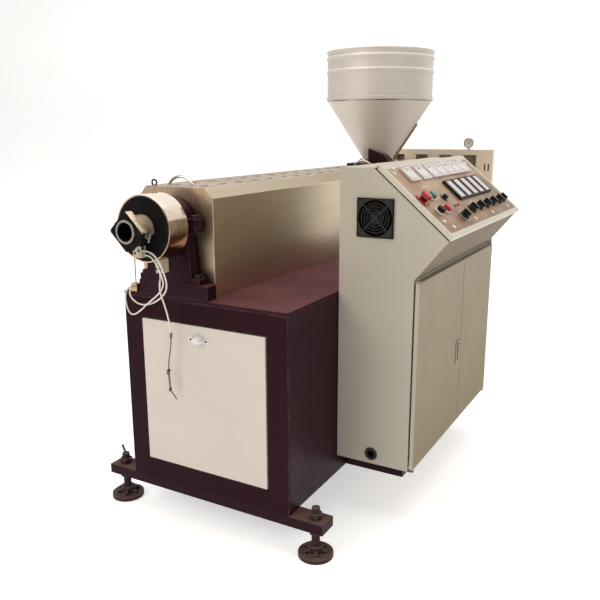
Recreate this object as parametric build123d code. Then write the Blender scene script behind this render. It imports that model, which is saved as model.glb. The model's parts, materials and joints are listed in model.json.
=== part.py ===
import os
from math import atan2, cos, degrees, hypot, pi, sin, tan

from build123d import *

# Single-screw plastic extruder on a floor-standing base. All sizes are in mm.
# The barrel runs along Y with its outlet toward -Y, and the control desk is on the +X side.

# General sizes
axis_height = 974.0
cut_over = 5.0
fit_gap = 0.3

# Base box
base_width = 604.0
axis_to_base_left = 183.0
base_length = 2240.0
base_bottom = 124.0
base_top_drop = 220.0
base_wall = 8.0
top_plate = 12.0
base_left = -axis_to_base_left
base_right = base_left + base_width
base_top = axis_height - base_top_drop

# Crossbars and levelling feet
bar_width = 70.0
bar_thickness = 32.0
bar_overhang = 112.0
rear_bar_share = 0.75
foot_inset = 40.0
screw_radius = 12.0
screw_rise = 36.0
nut_radius = 21.0
nut_height = 18.0
pad_radius = 54.0
pad_rim_height = 14.0
pad_hub_radius = 24.0
pad_hub_height = 36.0
pad_rib_width = 8.0
pad_rib_count = 6
nut_sides = 6
bar_bottom = base_bottom - bar_thickness
rear_bar = base_length * rear_bar_share
foot_left = base_left - bar_overhang + foot_inset
foot_right = base_right + bar_overhang - foot_inset

# Front access panel
panel_left_margin = 73.0
panel_right_margin = 75.0
panel_bottom_margin = 72.0
panel_top_margin = 81.0
panel_gap = 4.0
panel_proud = 3.0
panel_sheet = 2.0
panel_stop_depth = 6.0
panel_stop_width = 15.0
pull_width = 73.0
pull_side_shift = 9.0
pull_cup_width = 46.0
pull_reach = 18.0
pull_wall = 2.0
pull_drop = 8.0
pull_below_top = 43.0
pull_flange = 1.5
pull_ear_width = 15.0
half_circle = 180.0
panel_left = base_left + panel_left_margin
panel_right = base_right - panel_right_margin
panel_bottom = base_bottom + panel_bottom_margin
panel_top = base_top - panel_top_margin

# Pedestal, barrel stand and clamp
pedestal_left = 117.0
pedestal_right = 146.0
pedestal_height = 45.0
pedestal_depth = 46.0
stand_setback = 4.0
stand_half_width = 70.0
stand_base_half_width = 90.0
stand_foot_half_width = 115.0
stand_foot_height = 18.0
clamp_wall = 23.0
clamp_lug_reach = 28.0
clamp_lug_height = 20.0
clamp_split = 1.0
pedestal_top = base_top + pedestal_height
stand_back = pedestal_depth - stand_setback

# Barrel and die end
barrel_radius = 57.0
barrel_bore = 32.5
flange_radius = 94.0
flange_front = 100.0
flange_length = 86.0
band_thickness = 4.0
band_setback = 2.0
band_lug_size = 22.0
band_lug_gap = 6.0
neck_clear = 0.5
neck_length = 46.0
adaptor_half_diagonal = 60.0
adaptor_corner_radius = 8.0
adaptor_thickness = 25.0
adaptor_lip = 7.0
adaptor_lip_height = 4.0
adaptor_bore = 27.0
adaptor_bolt_radius = 4.5
adaptor_bolt_count = 4
flange_back = flange_length - flange_front
band_inner = flange_radius + fit_gap
band_outer = band_inner + band_thickness
band_length = flange_length - band_setback
adaptor_lip_radius = adaptor_bore + adaptor_lip
adaptor_bolt_circle = (adaptor_lip_radius + adaptor_half_diagonal) / 2
neck_radius = adaptor_bolt_circle - adaptor_bolt_radius - neck_clear
adaptor_front = flange_front + neck_length + adaptor_thickness
clamp_outer = barrel_radius + clamp_wall
clamp_reach = clamp_outer + clamp_lug_reach

# Hood over the heated barrel
hood_gap = 4.0
hood_length_share = 0.625
hood_half_width = 138.0
hood_rise = 110.0
hood_chamfer = 30.0
hood_chamfer_width = 25.0
hood_sheet = 2.0
hood_hole_gap = 14.0
slot_share = 0.625
slot_width = 20.0
slot_row_share = 0.487
slot_count = 14
slot_end_share = 0.58
handle_span = 96.0
handle_rise = 26.0
handle_radius = 4.0
front_handle_inset = 60.0
front_handle_shift = 25.0
rear_handle_inset = 22.0
eye_radius = 9.0
eye_wire = 2.5
eye_edge = 27.0
eye_inset = 9.0
hood_front = pedestal_depth + hood_gap
hood_length = base_length * hood_length_share
hood_back = hood_front + hood_length
hood_top = axis_height + hood_rise
hood_shoulder = hood_top - hood_chamfer
hood_top_half_width = hood_half_width - hood_chamfer_width
slot_pitch = hood_length / (slot_count + slot_end_share)
slot_length = slot_pitch * slot_share

# Feed throat and hopper
throat_front_gap = 30.0
throat_margin = 11.0
throat_end_margin = 18.5
throat_rise = 120.0
throat_foot_height = 120.0
throat_foot_inset = 30.0
throat_foot_end_inset = 40.0
hopper_neck_radius = 68.0
hopper_flange_width = 30.0
hopper_flange = 11.0
hopper_radius = 249.0
hopper_cone_height = 279.0
hopper_wall_height = 221.0
hopper_sheet = 2.0
hopper_lip = 4.0
hopper_lip_height = 14.0
hopper_bead = 5.0
hopper_bead_shares = (0.58, 0.85)
hopper_rim = 5.0
strip_angle = 16.0
strip_width = 34.0
strip_thickness = 8.0
strip_start_share = 0.07
strip_length_share = 0.55
chute_gap = 14.0
chute_depth = 60.0
chute_left = 4.0
chute_edge = 3.0
chute_corner = 28.0
chute_left_height = 70.0
chute_right_height = 36.0
hopper_flange_radius = hopper_neck_radius + hopper_flange_width
throat_half_width = hopper_flange_radius + throat_margin
throat_top = axis_height + throat_rise
throat_front = hood_back + throat_front_gap
throat_back = throat_front + 2 * (throat_half_width + throat_end_margin)
hopper_middle = (throat_front + throat_back) / 2
cone_bottom = throat_top + hopper_flange
cone_top = cone_bottom + hopper_cone_height
hopper_top = cone_top + hopper_wall_height
cone_slant = hypot(hopper_radius - hopper_neck_radius, hopper_cone_height)

# Belt guard across the rear end, with its gauge
guard_setback = 10.0
guard_depth = 80.0
guard_rise = 391.0
guard_sheet = 3.0
guard_flange = 12.0
window_pitch_share = 0.222
window_width_share = 0.52
window_height = 78.0
window_count = 4
window_first_share = 0.073
window_below_top = 28.0
vent_width = 8.0
vent_height = 36.0
vent_pitch_share = 0.033
vent_count = 2
vent_first_share = 0.927
vent_below_top = 74.0
gauge_radius = 26.0
gauge_depth = 26.0
gauge_stem_radius = 6.0
gauge_stem = 8.0
gauge_share = 0.767
gauge_rim = 3.0
guard_back = base_length - guard_setback
guard_front = guard_back - guard_depth
guard_top = base_top + guard_rise
window_pitch = base_width * window_pitch_share

# Gearbox between the feed throat and the guard
gearbox_side_gap = 15.0
gearbox_front_gap = 12.0
gearbox_guard_gap = 18.0
gearbox_rise = 90.0
gearbox_flange = 14.0
gearbox_flange_height = 16.0
gearbox_fillet = 22.0
gearbox_cover_inset = 60.0
gearbox_cover_height = 10.0
gearbox_half_width = axis_to_base_left - gearbox_side_gap
gearbox_front = throat_back + gearbox_front_gap
gearbox_back = guard_front - gearbox_guard_gap
gearbox_top = axis_height + gearbox_rise

# Control cabinet with its sloping desk
cabinet_gap = 3.0
cabinet_front = 316.0
cabinet_length = 843.0
cabinet_lift = 67.0
cabinet_body_height = 622.0
cabinet_depth = 248.0
desk_reach = 100.0
desk_nose_rise = 124.0
slope_drop = 203.0
cabinet_top_depth = 111.0
cabinet_sheet = 3.0
cabinet_return = 20.0
carrier_setback = 79.0
carrier_width = 50.0
carrier_inset = 44.0
carrier_count = 3
cabinet_left = base_right + cabinet_gap
cabinet_back = cabinet_front + cabinet_length
cabinet_bottom = base_bottom + cabinet_lift
cabinet_knee = cabinet_bottom + cabinet_body_height
door_face = cabinet_left + cabinet_depth
desk_edge = door_face + desk_reach
desk_nose = cabinet_knee + desk_nose_rise
cabinet_top = desk_nose + slope_drop
slope_start = cabinet_left + cabinet_top_depth
slope_run = desk_edge - slope_start
slope_length = hypot(slope_run, slope_drop)
slope_angle = atan2(slope_drop, slope_run)

# Cabinet doors
door_gap = 6.0
door_depth = 12.0
door_sheet = 2.0
door_seam_gap = 6.0
door_seam_share = 0.55
door_top_gap = 8.0
door_bottom_gap = 9.0
hinge_pin_radius = 3.0
hinge_pin_length = 20.0
hinge_edge = 6.0
hinge_setback = 5.5
hinge_tab = 2.5
hinge_tab_edge = 2.0
hinge_tab_width = 16.0
pull_plate_width = 34.0
pull_plate_height = 82.0
pull_plate = 4.0
pull_plate_rim = 5.0
pull_plate_floor = 1.5
pull_plate_edge = 18.0
pull_plate_share = 0.458
door_inner = door_face + door_gap
door_outer = door_inner + door_depth
door_low = cabinet_bottom + door_bottom_gap
door_high = cabinet_knee - door_top_gap
door_seam = cabinet_front + cabinet_length * door_seam_share
hinge_x = door_outer - hinge_setback

# Fan and cable entry in the end wall of the cabinet
fan_side = 120.0
fan_rise = 55.0
fan_size = 118.0
fan_frame_wall = 2.0
fan_guard_lip = 2.0
fan_guard_depth = 6.0
fan_ring_count = 5
fan_ring_width = 2.5
fan_spoke_width = 4.0
fan_spoke_count = 4
fan_depth = 38.0
fan_arm_width = 7.0
fan_arm_depth = 5.0
rotor_tip_gap = 6.0
rotor_hub_radius = 20.0
rotor_depth = 22.0
rotor_gap = 4.0
blade_count = 7
blade_thickness = 2.5
blade_chord = 20.0
blade_pitch_angle = 38.0
blade_root = 4.0
gland_side = 123.0
gland_rise = 34.0
gland_bore = 12.0
gland_wall = 5.0
gland_lip = 4.0
gland_flange_depth = 4.0
gland_length = 14.0
fan_x = cabinet_left + fan_side
fan_z = desk_nose + fan_rise
fan_bore = fan_size / 2 - fan_frame_wall
fan_opening = fan_bore - fan_guard_lip
gland_x = cabinet_left + gland_side
gland_z = cabinet_bottom + gland_rise
gland_neck = gland_bore + gland_wall

# Desk lid and control plate, measured down the slope, along the desk and out from it
lid_seal = 4.0
lid_depth = 14.0
lid_top_gap = 9.0
lid_nose = 4.0
lid_border = 26.0
lid_rebate = 8.0
plate_thickness = 3.0
plate_recess = 1.0
plate_gap = 0.5
seal_width = 12.0
lid_hinge_radius = 4.0
lid_hinge_drop = 2.0
lid_hinge_rise = 8.0
lid_hinge_leaf = 2.0
lid_hinge_leaf_width = 30.0
lid_top = lid_seal + lid_depth
lid_end = slope_length + lid_nose
plate_top = lid_top - plate_recess

# Instruments on the control plate, placed by shares of the desk
meter_width_share = 0.095
meter_height_share = 0.186
meter_depth = 7.0
meter_down_share = 0.2
meter_along_shares = (0.173, 0.301, 0.418, 0.52, 0.622, 0.724, 0.826)
control_width_share = 0.088
control_height_share = 0.276
control_depth = 8.0
control_down_share = 0.503
control_first_share = 0.452
control_pitch_share = 0.0925
control_count = 5
face_rim = 7.0
face_recess = 2.0
knob_radius = 14.0
knob_base_radius = 18.0
knob_base = 5.0
knob_depth = 22.0
knob_grip = 7.0
knob_shares = ((0.83, 0.29), (0.785, 0.435), (0.785, 0.535), (0.785, 0.637), (0.785, 0.735),
               (0.785, 0.838), (0.785, 0.91))
stop_down_share = 0.526
stop_along_share = 0.06
stop_plate = 42.0
stop_plate_depth = 3.0
stop_stem_radius = 11.0
stop_head_radius = 17.0
stop_head = 13.0
stop_depth = 27.0
button_radius = 13.0
button_collar_radius = 16.0
button_collar = 5.0
button_depth = 18.0
start_down_share = 0.515
start_along_share = 0.155
button_row_down_share = 0.7
button_row_along_shares = (0.1, 0.172)
dial_down_share = 0.561
dial_along_share = 0.272
dial_radius = 16.0
dial_plate = 2.0
dial_knob_radius = 9.0
dial_knob_depth = 14.0

# Heater plugs, terminal and wires at the die end
plug_width = 32.0
plug_height = 35.0
plug_depth = 22.0
plug_side = -8.0
plug_gap = 4.5
band_plug_width = 24.0
band_plug_depth = 32.0
band_plug_height = 34.0
band_plug_side = 28.0
terminal_width = 24.0
terminal_depth = 22.0
terminal_height = 26.0
terminal_side = 40.0
terminal_setback = 3.0
lead_radius = 2.5
probe_radius = 2.0
probe_sleeve_radius = 4.0
probe_sleeve = 16.0
probe_bead = 4.5
earth_radius = 1.5
earth_side = -45.0
earth_setback = 8.0
bend_share = 0.45
lead_pair = 12.0
lead_entry = 16.0
upper_lead_in = 8.0
upper_lead_up = 4.0
upper_lead_bends = ((16, 0, 0), (40, 0, -8), (56, 4, -32), (58, 16, -62), (44, 46, -98),
                    (10, 80, -140), (-40, 92, -176), (-84, 94, -192), (-114, 90, -190))
upper_lead_rise = ((5, -33, -24), (0, -24, 0))
lower_lead_in = 15.0
lower_lead_down = 10.0
lower_lead_bends = ((14, 0, 0), (30, -1, -8), (44, 0, -28), (44, 14, -56), (28, 44, -88),
                    (-4, 70, -120), (-38, 78, -146), (-70, 78, -170), (-98, 78, -194),
                    (-124, 79, -211), (-142, 79, -212), (-154, 79, -196))
lower_lead_rise = ((0, -36, -30), (0, -26, 0))
sensor_side = -2.0
sensor_setback = 8.0
sensor_lead_bends = ((0, 0, -16), (-1, -5, -34), (1, -6, -58), (2, 6, -90), (2, 18, -122),
                     (1, 28, -154), (2, 34, -192))
probe_bends = ((-5, 0, -50), (-13, 0, -84), (-18, 0, -120), (-15, 0, -163), (-14, 0, -186),
               (11, 0, -213))
probe_bead_places = ((-17, 0, -127), (-14, 0, -184))
plug_z = axis_height - neck_radius - plug_height / 2 - plug_gap
plug_right = plug_side + plug_width / 2
plug_front = -flange_front - plug_depth
band_middle = flange_back - flange_length / 2
band_plug_bottom = axis_height - band_outer - band_plug_height
terminal_x = base_left + terminal_side
terminal_top = base_top + terminal_height

# Middle of the whole machine, which becomes the origin
machine_front = -adaptor_front - adaptor_lip_height
machine_left = base_left - bar_overhang
machine_right = slope_start + lid_end * cos(slope_angle) + lid_top * sin(slope_angle)
middle_x = (machine_left + machine_right) / 2
middle_y = (machine_front + base_length) / 2

desk = Plane(
    origin=(slope_start, cabinet_front, cabinet_top),
    x_dir=(cos(slope_angle), 0, -sin(slope_angle)),
    z_dir=(sin(slope_angle), 0, cos(slope_angle)),
)
lid_axis = desk.from_local_coords(Vector(lid_hinge_drop, 0, lid_hinge_rise))


def slab(x0, x1, y0, y1, z0, z1):
    return Pos((x0 + x1) / 2, (y0 + y1) / 2, (z0 + z1) / 2) * Box(x1 - x0, y1 - y0, z1 - z0)


def rod(radius, start, end):
    run = Vector(*end) - Vector(*start)
    foot = Align.CENTER, Align.CENTER, Align.MIN
    return Plane(origin=start, z_dir=run) * Cylinder(radius, run.length, align=foot)


def rod_y(radius, x, z, y0, y1):
    return rod(radius, (x, y0, z), (x, y1, z))


def hole_y(radius, x, z, y0, y1):
    return rod_y(radius, x, z, y0 - cut_over, y1 + cut_over)


def prism(outline, y0, y1):
    face = make_face(Polyline(*[(x, y0, z) for x, z in outline], close=True))
    return extrude(face, amount=y1 - y0, dir=(0, 1, 0))


def spun(outline, y):
    face = make_face(Polyline(*[(r, 0, z) for r, z in outline], close=True))
    return Pos(0, y, 0) * revolve(face, Axis.Z)


def together(pieces):
    return Compound([solid for piece in pieces for solid in piece.solids()])


# Base

def base_front_wall():
    x0 = panel_left - panel_gap
    x1 = panel_right + panel_gap
    z0 = panel_bottom - panel_gap
    z1 = panel_top + panel_gap
    stop_back = base_wall + panel_stop_depth
    lip = panel_stop_width
    wall = slab(base_left, base_right, 0, base_wall, base_bottom, base_top - top_plate)
    stop = slab(x0 - lip, x1 + lip, base_wall, stop_back, z0 - lip, z1 + lip)
    wall -= slab(x0, x1, -cut_over, base_wall, z0, z1)
    stop -= slab(x0 + lip, x1 - lip, 0, stop_back + cut_over, z0 + lip, z1 - lip)
    return wall + stop


def base_side_walls():
    z1 = base_top - top_plate
    y1 = base_length - base_wall
    left = slab(base_left, base_left + base_wall, base_wall, y1, base_bottom, z1)
    right = slab(base_right - base_wall, base_right, base_wall, y1, base_bottom, z1)
    return together([left, right])


def base_rear_wall():
    return slab(base_left, base_right, base_length - base_wall, base_length,
                base_bottom, base_top - top_plate)


def base_top_plate():
    return slab(base_left, base_right, 0, base_length, base_top - top_plate, base_top)


def foot_places():
    rows = (bar_width / 2, rear_bar + bar_width / 2)
    return [(x, y) for y in rows for x in (foot_left, foot_right)]


def crossbars():
    bars = []
    for y in (0, rear_bar):
        bar = slab(base_left - bar_overhang, base_right + bar_overhang, y, y + bar_width,
                   bar_bottom, base_bottom)
        middle = y + bar_width / 2
        for x in (foot_left, foot_right):
            bar -= rod(screw_radius + fit_gap, (x, middle, bar_bottom - cut_over),
                       (x, middle, base_bottom + cut_over))
        bars.append(bar)
    return together(bars)


def levelling_screws():
    screws = []
    for x, y in foot_places():
        screw = rod(screw_radius, (x, y, pad_hub_height), (x, y, base_bottom + screw_rise))
        for z in (bar_bottom - nut_height, base_bottom):
            screw += Pos(x, y, z) * extrude(RegularPolygon(nut_radius, nut_sides), nut_height)
        screws.append(screw)
    return together(screws)


def foot_pads():
    pads = []
    rib_reach = (pad_radius + pad_hub_radius) / 2
    rib_top = (pad_rim_height + pad_hub_height) / 2
    for x, y in foot_places():
        pad = rod(pad_radius, (x, y, 0), (x, y, pad_rim_height))
        pad += rod(pad_hub_radius, (x, y, 0), (x, y, pad_hub_height))
        for turn in range(pad_rib_count):
            rib = slab(0, rib_reach, -pad_rib_width / 2, pad_rib_width / 2, 0, rib_top)
            pad += Pos(x, y, 0) * Rot(0, 0, turn * 360 / pad_rib_count) * rib
        pads.append(pad)
    return together(pads)


def access_panel():
    s = panel_sheet
    tray = slab(panel_left, panel_right, -panel_proud, base_wall, panel_bottom, panel_top)
    return tray - slab(panel_left + s, panel_right - s, s - panel_proud, base_wall + cut_over,
                       panel_bottom + s, panel_top - s)


def spindle(half_length, radius):
    curve = EllipticalCenterArc((0, 0), half_length, radius, arc_size=half_circle)
    return revolve(make_face([curve, Line((-half_length, 0), (half_length, 0))]), Axis.X)


def access_panel_pull():
    x = (panel_left + panel_right) / 2 - pull_side_shift
    y = -panel_proud
    z = panel_top - pull_below_top
    half = pull_cup_width / 2
    far = pull_width
    cup = spindle(half, pull_reach) - spindle(half - pull_wall, pull_reach - pull_wall)
    cup -= slab(-far, far, 0, far, -far, far)
    cup -= slab(-far, far, -far, far, -far, -pull_drop)
    outline = SlotOverall(pull_width, pull_ear_width)
    ears = Plane(origin=(0, 0, 0), x_dir=(1, 0, 0), z_dir=(0, -1, 0)) * extrude(outline, pull_flange)
    return Pos(x, y, z) * (cup + ears)


# Barrel stand, barrel and die end

def barrel_pedestal():
    return slab(-pedestal_left, pedestal_right, 0, pedestal_depth, base_top, pedestal_top)


def barrel_stand():
    y0 = stand_setback
    y1 = stand_back
    split = axis_height - clamp_split
    foot = slab(-stand_foot_half_width, stand_foot_half_width, y0, y1,
                pedestal_top, pedestal_top + stand_foot_height)
    low = stand_base_half_width
    high = stand_half_width
    column = prism([(-low, pedestal_top), (low, pedestal_top), (high, split), (-high, split)], y0, y1)
    lugs = slab(-clamp_reach, clamp_reach, y0, y1, split - clamp_lug_height, split)
    return foot + column + lugs - hole_y(barrel_radius + fit_gap, 0, axis_height, y0, y1)


def barrel_clamp_cap():
    y0 = stand_setback
    y1 = stand_back
    split = axis_height + clamp_split
    far = clamp_outer + cut_over
    cap = rod_y(clamp_outer, 0, axis_height, y0, y1)
    cap -= slab(-far, far, y0 - cut_over, y1 + cut_over, axis_height - far, split)
    cap += slab(-clamp_reach, clamp_reach, y0, y1, split, split + clamp_lug_height)
    return cap - hole_y(barrel_radius + fit_gap, 0, axis_height, y0, y1)


def barrel():
    body = rod_y(barrel_radius, 0, axis_height, flange_back, throat_front)
    return body - hole_y(barrel_bore, 0, axis_height, flange_back, throat_front)


def die_flange():
    disc = rod_y(flange_radius, 0, axis_height, -flange_front, flange_back)
    return disc - hole_y(adaptor_bore, 0, axis_height, -flange_front, flange_back)


def heater_band():
    y0 = -flange_front
    y1 = y0 + band_length
    z = axis_height
    lug = band_lug_size / 2
    gap = band_lug_gap / 2
    reach = band_outer + band_lug_size
    band = rod_y(band_outer, 0, z, y0, y1)
    for y in (y0 + lug, y1 - band_lug_size - lug):
        band += slab(-reach, -band_inner, y, y + band_lug_size, z - lug, z + lug)
    band -= hole_y(band_inner, 0, z, y0, y1)
    return band - slab(-reach - cut_over, cut_over - band_inner, y0 - cut_over, y1 + cut_over,
                       z - gap, z + gap)


def die_adaptor():
    y0 = -adaptor_front
    y1 = y0 + adaptor_thickness
    lip_front = y0 - adaptor_lip_height
    side = adaptor_half_diagonal * 2 ** 0.5
    square = RectangleRounded(side, side, adaptor_corner_radius)
    face = Plane(origin=(0, y0, axis_height), x_dir=(1, 0, 0), z_dir=(0, 1, 0))
    body = face * Rot(0, 0, 45) * extrude(square, adaptor_thickness)
    body += rod_y(neck_radius, 0, axis_height, y1, -flange_front)
    body += rod_y(adaptor_lip_radius, 0, axis_height, lip_front, y0)
    body -= hole_y(adaptor_bore, 0, axis_height, lip_front, -flange_front)
    for turn in range(adaptor_bolt_count):
        angle = 2 * pi * turn / adaptor_bolt_count
        x = adaptor_bolt_circle * cos(angle)
        z = axis_height + adaptor_bolt_circle * sin(angle)
        body -= rod_y(adaptor_bolt_radius, x, z, y0 - cut_over, y1)
    return body


# Hood

def hood_outline():
    return [(-hood_half_width, base_top), (hood_half_width, base_top),
            (hood_half_width, hood_shoulder), (hood_top_half_width, hood_top),
            (-hood_top_half_width, hood_top), (-hood_half_width, hood_shoulder)]


def hood_end(y0):
    y1 = y0 + hood_sheet
    return prism(hood_outline(), y0, y1) - hole_y(barrel_radius + hood_hole_gap, 0, axis_height, y0, y1)


def hood_end_plates():
    return together([hood_end(hood_front), hood_end(hood_back - hood_sheet)])


def hood_cover():
    y0 = hood_front + hood_sheet
    y1 = hood_back - hood_sheet
    s = hood_sheet
    fold = s / 2
    half = hood_half_width - s
    top_half = hood_top_half_width - fold
    shoulder = hood_shoulder - fold
    inside = [(-half, base_top - cut_over), (half, base_top - cut_over), (half, shoulder),
              (top_half, hood_top - s), (-top_half, hood_top - s), (-half, shoulder)]
    cover = prism(hood_outline(), y0, y1) - prism(inside, y0 - cut_over, y1 + cut_over)
    first = (y0 + y1) / 2 - slot_pitch * (slot_count - 1) / 2
    row = slot_row_share * hood_top_half_width
    for x in (-row, row):
        for step in range(slot_count):
            y = first + step * slot_pitch
            cover -= slab(x - slot_width / 2, x + slot_width / 2, y - slot_length / 2,
                          y + slot_length / 2, hood_top - s - cut_over, hood_top + cut_over)
    return cover


def hood_handle(x, y):
    half = handle_span / 2
    low = hood_top - handle_radius
    bow = ThreePointArc((x - half, y, low), (x, y, hood_top + handle_rise), (x + half, y, low))
    bar = sweep(Plane(origin=bow @ 0, z_dir=bow % 0) * Circle(handle_radius), path=bow)
    far = handle_span
    return bar - slab(x - far, x + far, y - far, y + far, hood_top - far, hood_top)


def hood_handles():
    front = hood_handle(-front_handle_shift, hood_front + front_handle_inset)
    rear = hood_handle(0, hood_back - rear_handle_inset)
    x = eye_edge - hood_top_half_width
    y = hood_front + eye_inset
    eye = Plane(origin=(x, y, hood_top + eye_radius), z_dir=(0, 1, 0)) * Torus(eye_radius, eye_wire)
    eye -= slab(-hood_half_width, 0, y - eye_radius, y + eye_radius, hood_top - eye_radius, hood_top)
    return together([front, rear, eye])


# Feed throat, hopper and gearbox

def feed_throat():
    foot_half = throat_half_width - throat_foot_inset
    foot_top = base_top + throat_foot_height
    body = slab(-throat_half_width, throat_half_width, throat_front, throat_back, foot_top, throat_top)
    body += slab(-foot_half, foot_half, throat_front + throat_foot_end_inset,
                 throat_back - throat_foot_end_inset, base_top, foot_top)
    body -= rod(hopper_neck_radius - hopper_sheet, (0, hopper_middle, axis_height),
                (0, hopper_middle, throat_top + cut_over))
    return body - rod_y(barrel_bore, 0, axis_height, throat_front - cut_over, hopper_middle)


def hopper_cone():
    s = hopper_sheet
    r0 = hopper_neck_radius
    r1 = hopper_radius
    return spun([(r0 - s, throat_top), (hopper_flange_radius, throat_top),
                 (hopper_flange_radius, cone_bottom), (r0, cone_bottom), (r1, cone_top),
                 (r1 - s, cone_top), (r0 - s, cone_bottom)], hopper_middle)


def cone_core():
    return spun([(0, cone_bottom), (hopper_neck_radius, cone_bottom), (hopper_radius, cone_top),
                 (0, cone_top)], hopper_middle)


def hopper_wall():
    s = hopper_sheet
    r = hopper_radius
    lip_top = cone_top + hopper_lip_height
    outline = [(r - s, cone_top), (r + hopper_lip, cone_top), (r + hopper_lip, lip_top), (r, lip_top)]
    for share in hopper_bead_shares:
        z = cone_top + share * hopper_wall_height
        outline += [(r, z - hopper_bead * 2), (r + hopper_bead, z - hopper_bead / 2),
                    (r + hopper_bead, z + hopper_bead / 2), (r, z + hopper_bead * 2)]
    outline += [(r, hopper_top - hopper_rim * 2), (r + hopper_rim, hopper_top - hopper_rim),
                (r + hopper_rim, hopper_top), (r - s, hopper_top)]
    return spun(outline, hopper_middle)


def hopper_sight_strip():
    lean = degrees(atan2(hopper_radius - hopper_neck_radius, hopper_cone_height))
    start = strip_start_share * cone_slant
    strip = slab(0, strip_thickness, -strip_width / 2, strip_width / 2, start,
                 start + strip_length_share * cone_slant)
    side = Pos(0, hopper_middle, cone_bottom) * Rot(0, 0, strip_angle) * Pos(hopper_neck_radius, 0, 0)
    return side * Rot(0, lean, 0) * strip - cone_core()


def drain_chute():
    y0 = hopper_middle - hopper_flange_radius - chute_gap
    x1 = throat_half_width - chute_edge
    high = throat_top + chute_right_height
    outline = [(-chute_left, throat_top), (x1, throat_top), (x1, high - chute_corner),
               (x1 - chute_corner, high), (-chute_left, throat_top + chute_left_height)]
    chute = prism(outline, y0, y0 + chute_depth)
    chute -= rod(hopper_flange_radius, (0, hopper_middle, throat_top - cut_over),
                 (0, hopper_middle, cone_bottom))
    return chute - cone_core()


def gearbox_housing():
    w = gearbox_half_width
    f = gearbox_flange
    joint_top = axis_height + gearbox_flange_height
    body = slab(-w, w, gearbox_front, gearbox_back, base_top, gearbox_top)
    body = fillet(body.edges().filter_by(Axis.Z), gearbox_fillet)
    return body + slab(-w - f, w + f, gearbox_front + f, gearbox_back - f, axis_height, joint_top)


def gearbox_cover():
    inset = gearbox_cover_inset
    w = gearbox_half_width - inset
    return slab(-w, w, gearbox_front + inset, gearbox_back - inset, gearbox_top,
                gearbox_top + gearbox_cover_height)


# Belt guard and gauge

def belt_guard():
    s = guard_sheet
    front = guard_front - cut_over
    back = guard_front + s + cut_over
    left = base_left + guard_flange
    right = base_right - guard_flange
    cover = slab(base_left, base_right, guard_front, guard_front + s, base_top, guard_top)
    box = slab(left, right, guard_front, guard_back, base_top, guard_top)
    guard = cover + box - slab(left + s, right - s, guard_front + s, guard_back - s,
                               base_top - cut_over, guard_top - s)
    top = guard_top - window_below_top
    for step in range(window_count):
        x = base_left + window_first_share * base_width + step * window_pitch
        guard -= slab(x, x + window_pitch * window_width_share, front, back, top - window_height, top)
    top = guard_top - vent_below_top
    for step in range(vent_count):
        x = base_left + (vent_first_share + step * vent_pitch_share) * base_width
        guard -= slab(x, x + vent_width, front, back, top - vent_height, top)
    return guard


def pressure_gauge():
    x = base_left + gauge_share * base_width
    y = (guard_front + guard_back) / 2
    z = guard_top + gauge_stem + gauge_radius
    y0 = y - gauge_depth / 2
    gauge = rod(gauge_stem_radius, (x, y, guard_top), (x, y, z))
    gauge += rod_y(gauge_radius, x, z, y0, y + gauge_depth / 2)
    return gauge - rod_y(gauge_radius - gauge_rim, x, z, y0 - cut_over, y0 + gauge_rim)


# Control cabinet

def cabinet_carrier():
    arms = []
    span = cabinet_length - 2 * carrier_setback - carrier_width
    for step in range(carrier_count):
        y = cabinet_front + carrier_setback + span * step / (carrier_count - 1)
        arms.append(slab(base_right, door_face - carrier_inset, y, y + carrier_width,
                         base_bottom, cabinet_bottom))
    return together(arms)


def cabinet_outline():
    return [(cabinet_left, cabinet_bottom), (door_face, cabinet_bottom), (door_face, cabinet_knee),
            (desk_edge, desk_nose), (slope_start, cabinet_top), (cabinet_left, cabinet_top)]


def cabinet_front_wall():
    y0 = cabinet_front
    y1 = y0 + cabinet_sheet
    wall = prism(cabinet_outline(), y0, y1) - hole_y(fan_bore, fan_x, fan_z, y0, y1)
    wall -= hole_y(gland_neck + fit_gap, gland_x, gland_z, y0, y1)
    return wall + slab(door_face - cabinet_sheet, door_face, y1, y1 + cabinet_return,
                       cabinet_bottom + cabinet_sheet, cabinet_knee)


def cabinet_rear_wall():
    y0 = cabinet_back - cabinet_sheet
    wall = prism(cabinet_outline(), y0, cabinet_back)
    return wall + slab(door_face - cabinet_sheet, door_face, y0 - cabinet_return, y0,
                       cabinet_bottom + cabinet_sheet, cabinet_knee)


def doorway_strip(z0, z1):
    inset = cabinet_sheet + cabinet_return
    return slab(door_face - cabinet_sheet, door_face, cabinet_front + inset, cabinet_back - inset, z0, z1)


def cabinet_back_wall():
    s = cabinet_sheet
    return slab(cabinet_left, cabinet_left + s, cabinet_front + s, cabinet_back - s,
                cabinet_bottom, cabinet_top)


def cabinet_floor():
    s = cabinet_sheet
    floor = slab(cabinet_left + s, door_face, cabinet_front + s, cabinet_back - s,
                 cabinet_bottom, cabinet_bottom + s)
    return floor + doorway_strip(cabinet_bottom + s, cabinet_bottom + cabinet_return)


def cabinet_top_plate():
    s = cabinet_sheet
    return slab(cabinet_left + s, slope_start, cabinet_front + s, cabinet_back - s,
                cabinet_top - s, cabinet_top)


def desk_underside():
    s = cabinet_sheet
    outline = [(door_face, cabinet_knee), (desk_edge, desk_nose),
               (desk_edge - s * cos(slope_angle), desk_nose + s * sin(slope_angle)),
               (door_face - s, cabinet_knee + s), (door_face - s, cabinet_knee)]
    sheet = prism(outline, cabinet_front + s, cabinet_back - s)
    return sheet + doorway_strip(cabinet_knee - cabinet_return, cabinet_knee)


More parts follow.
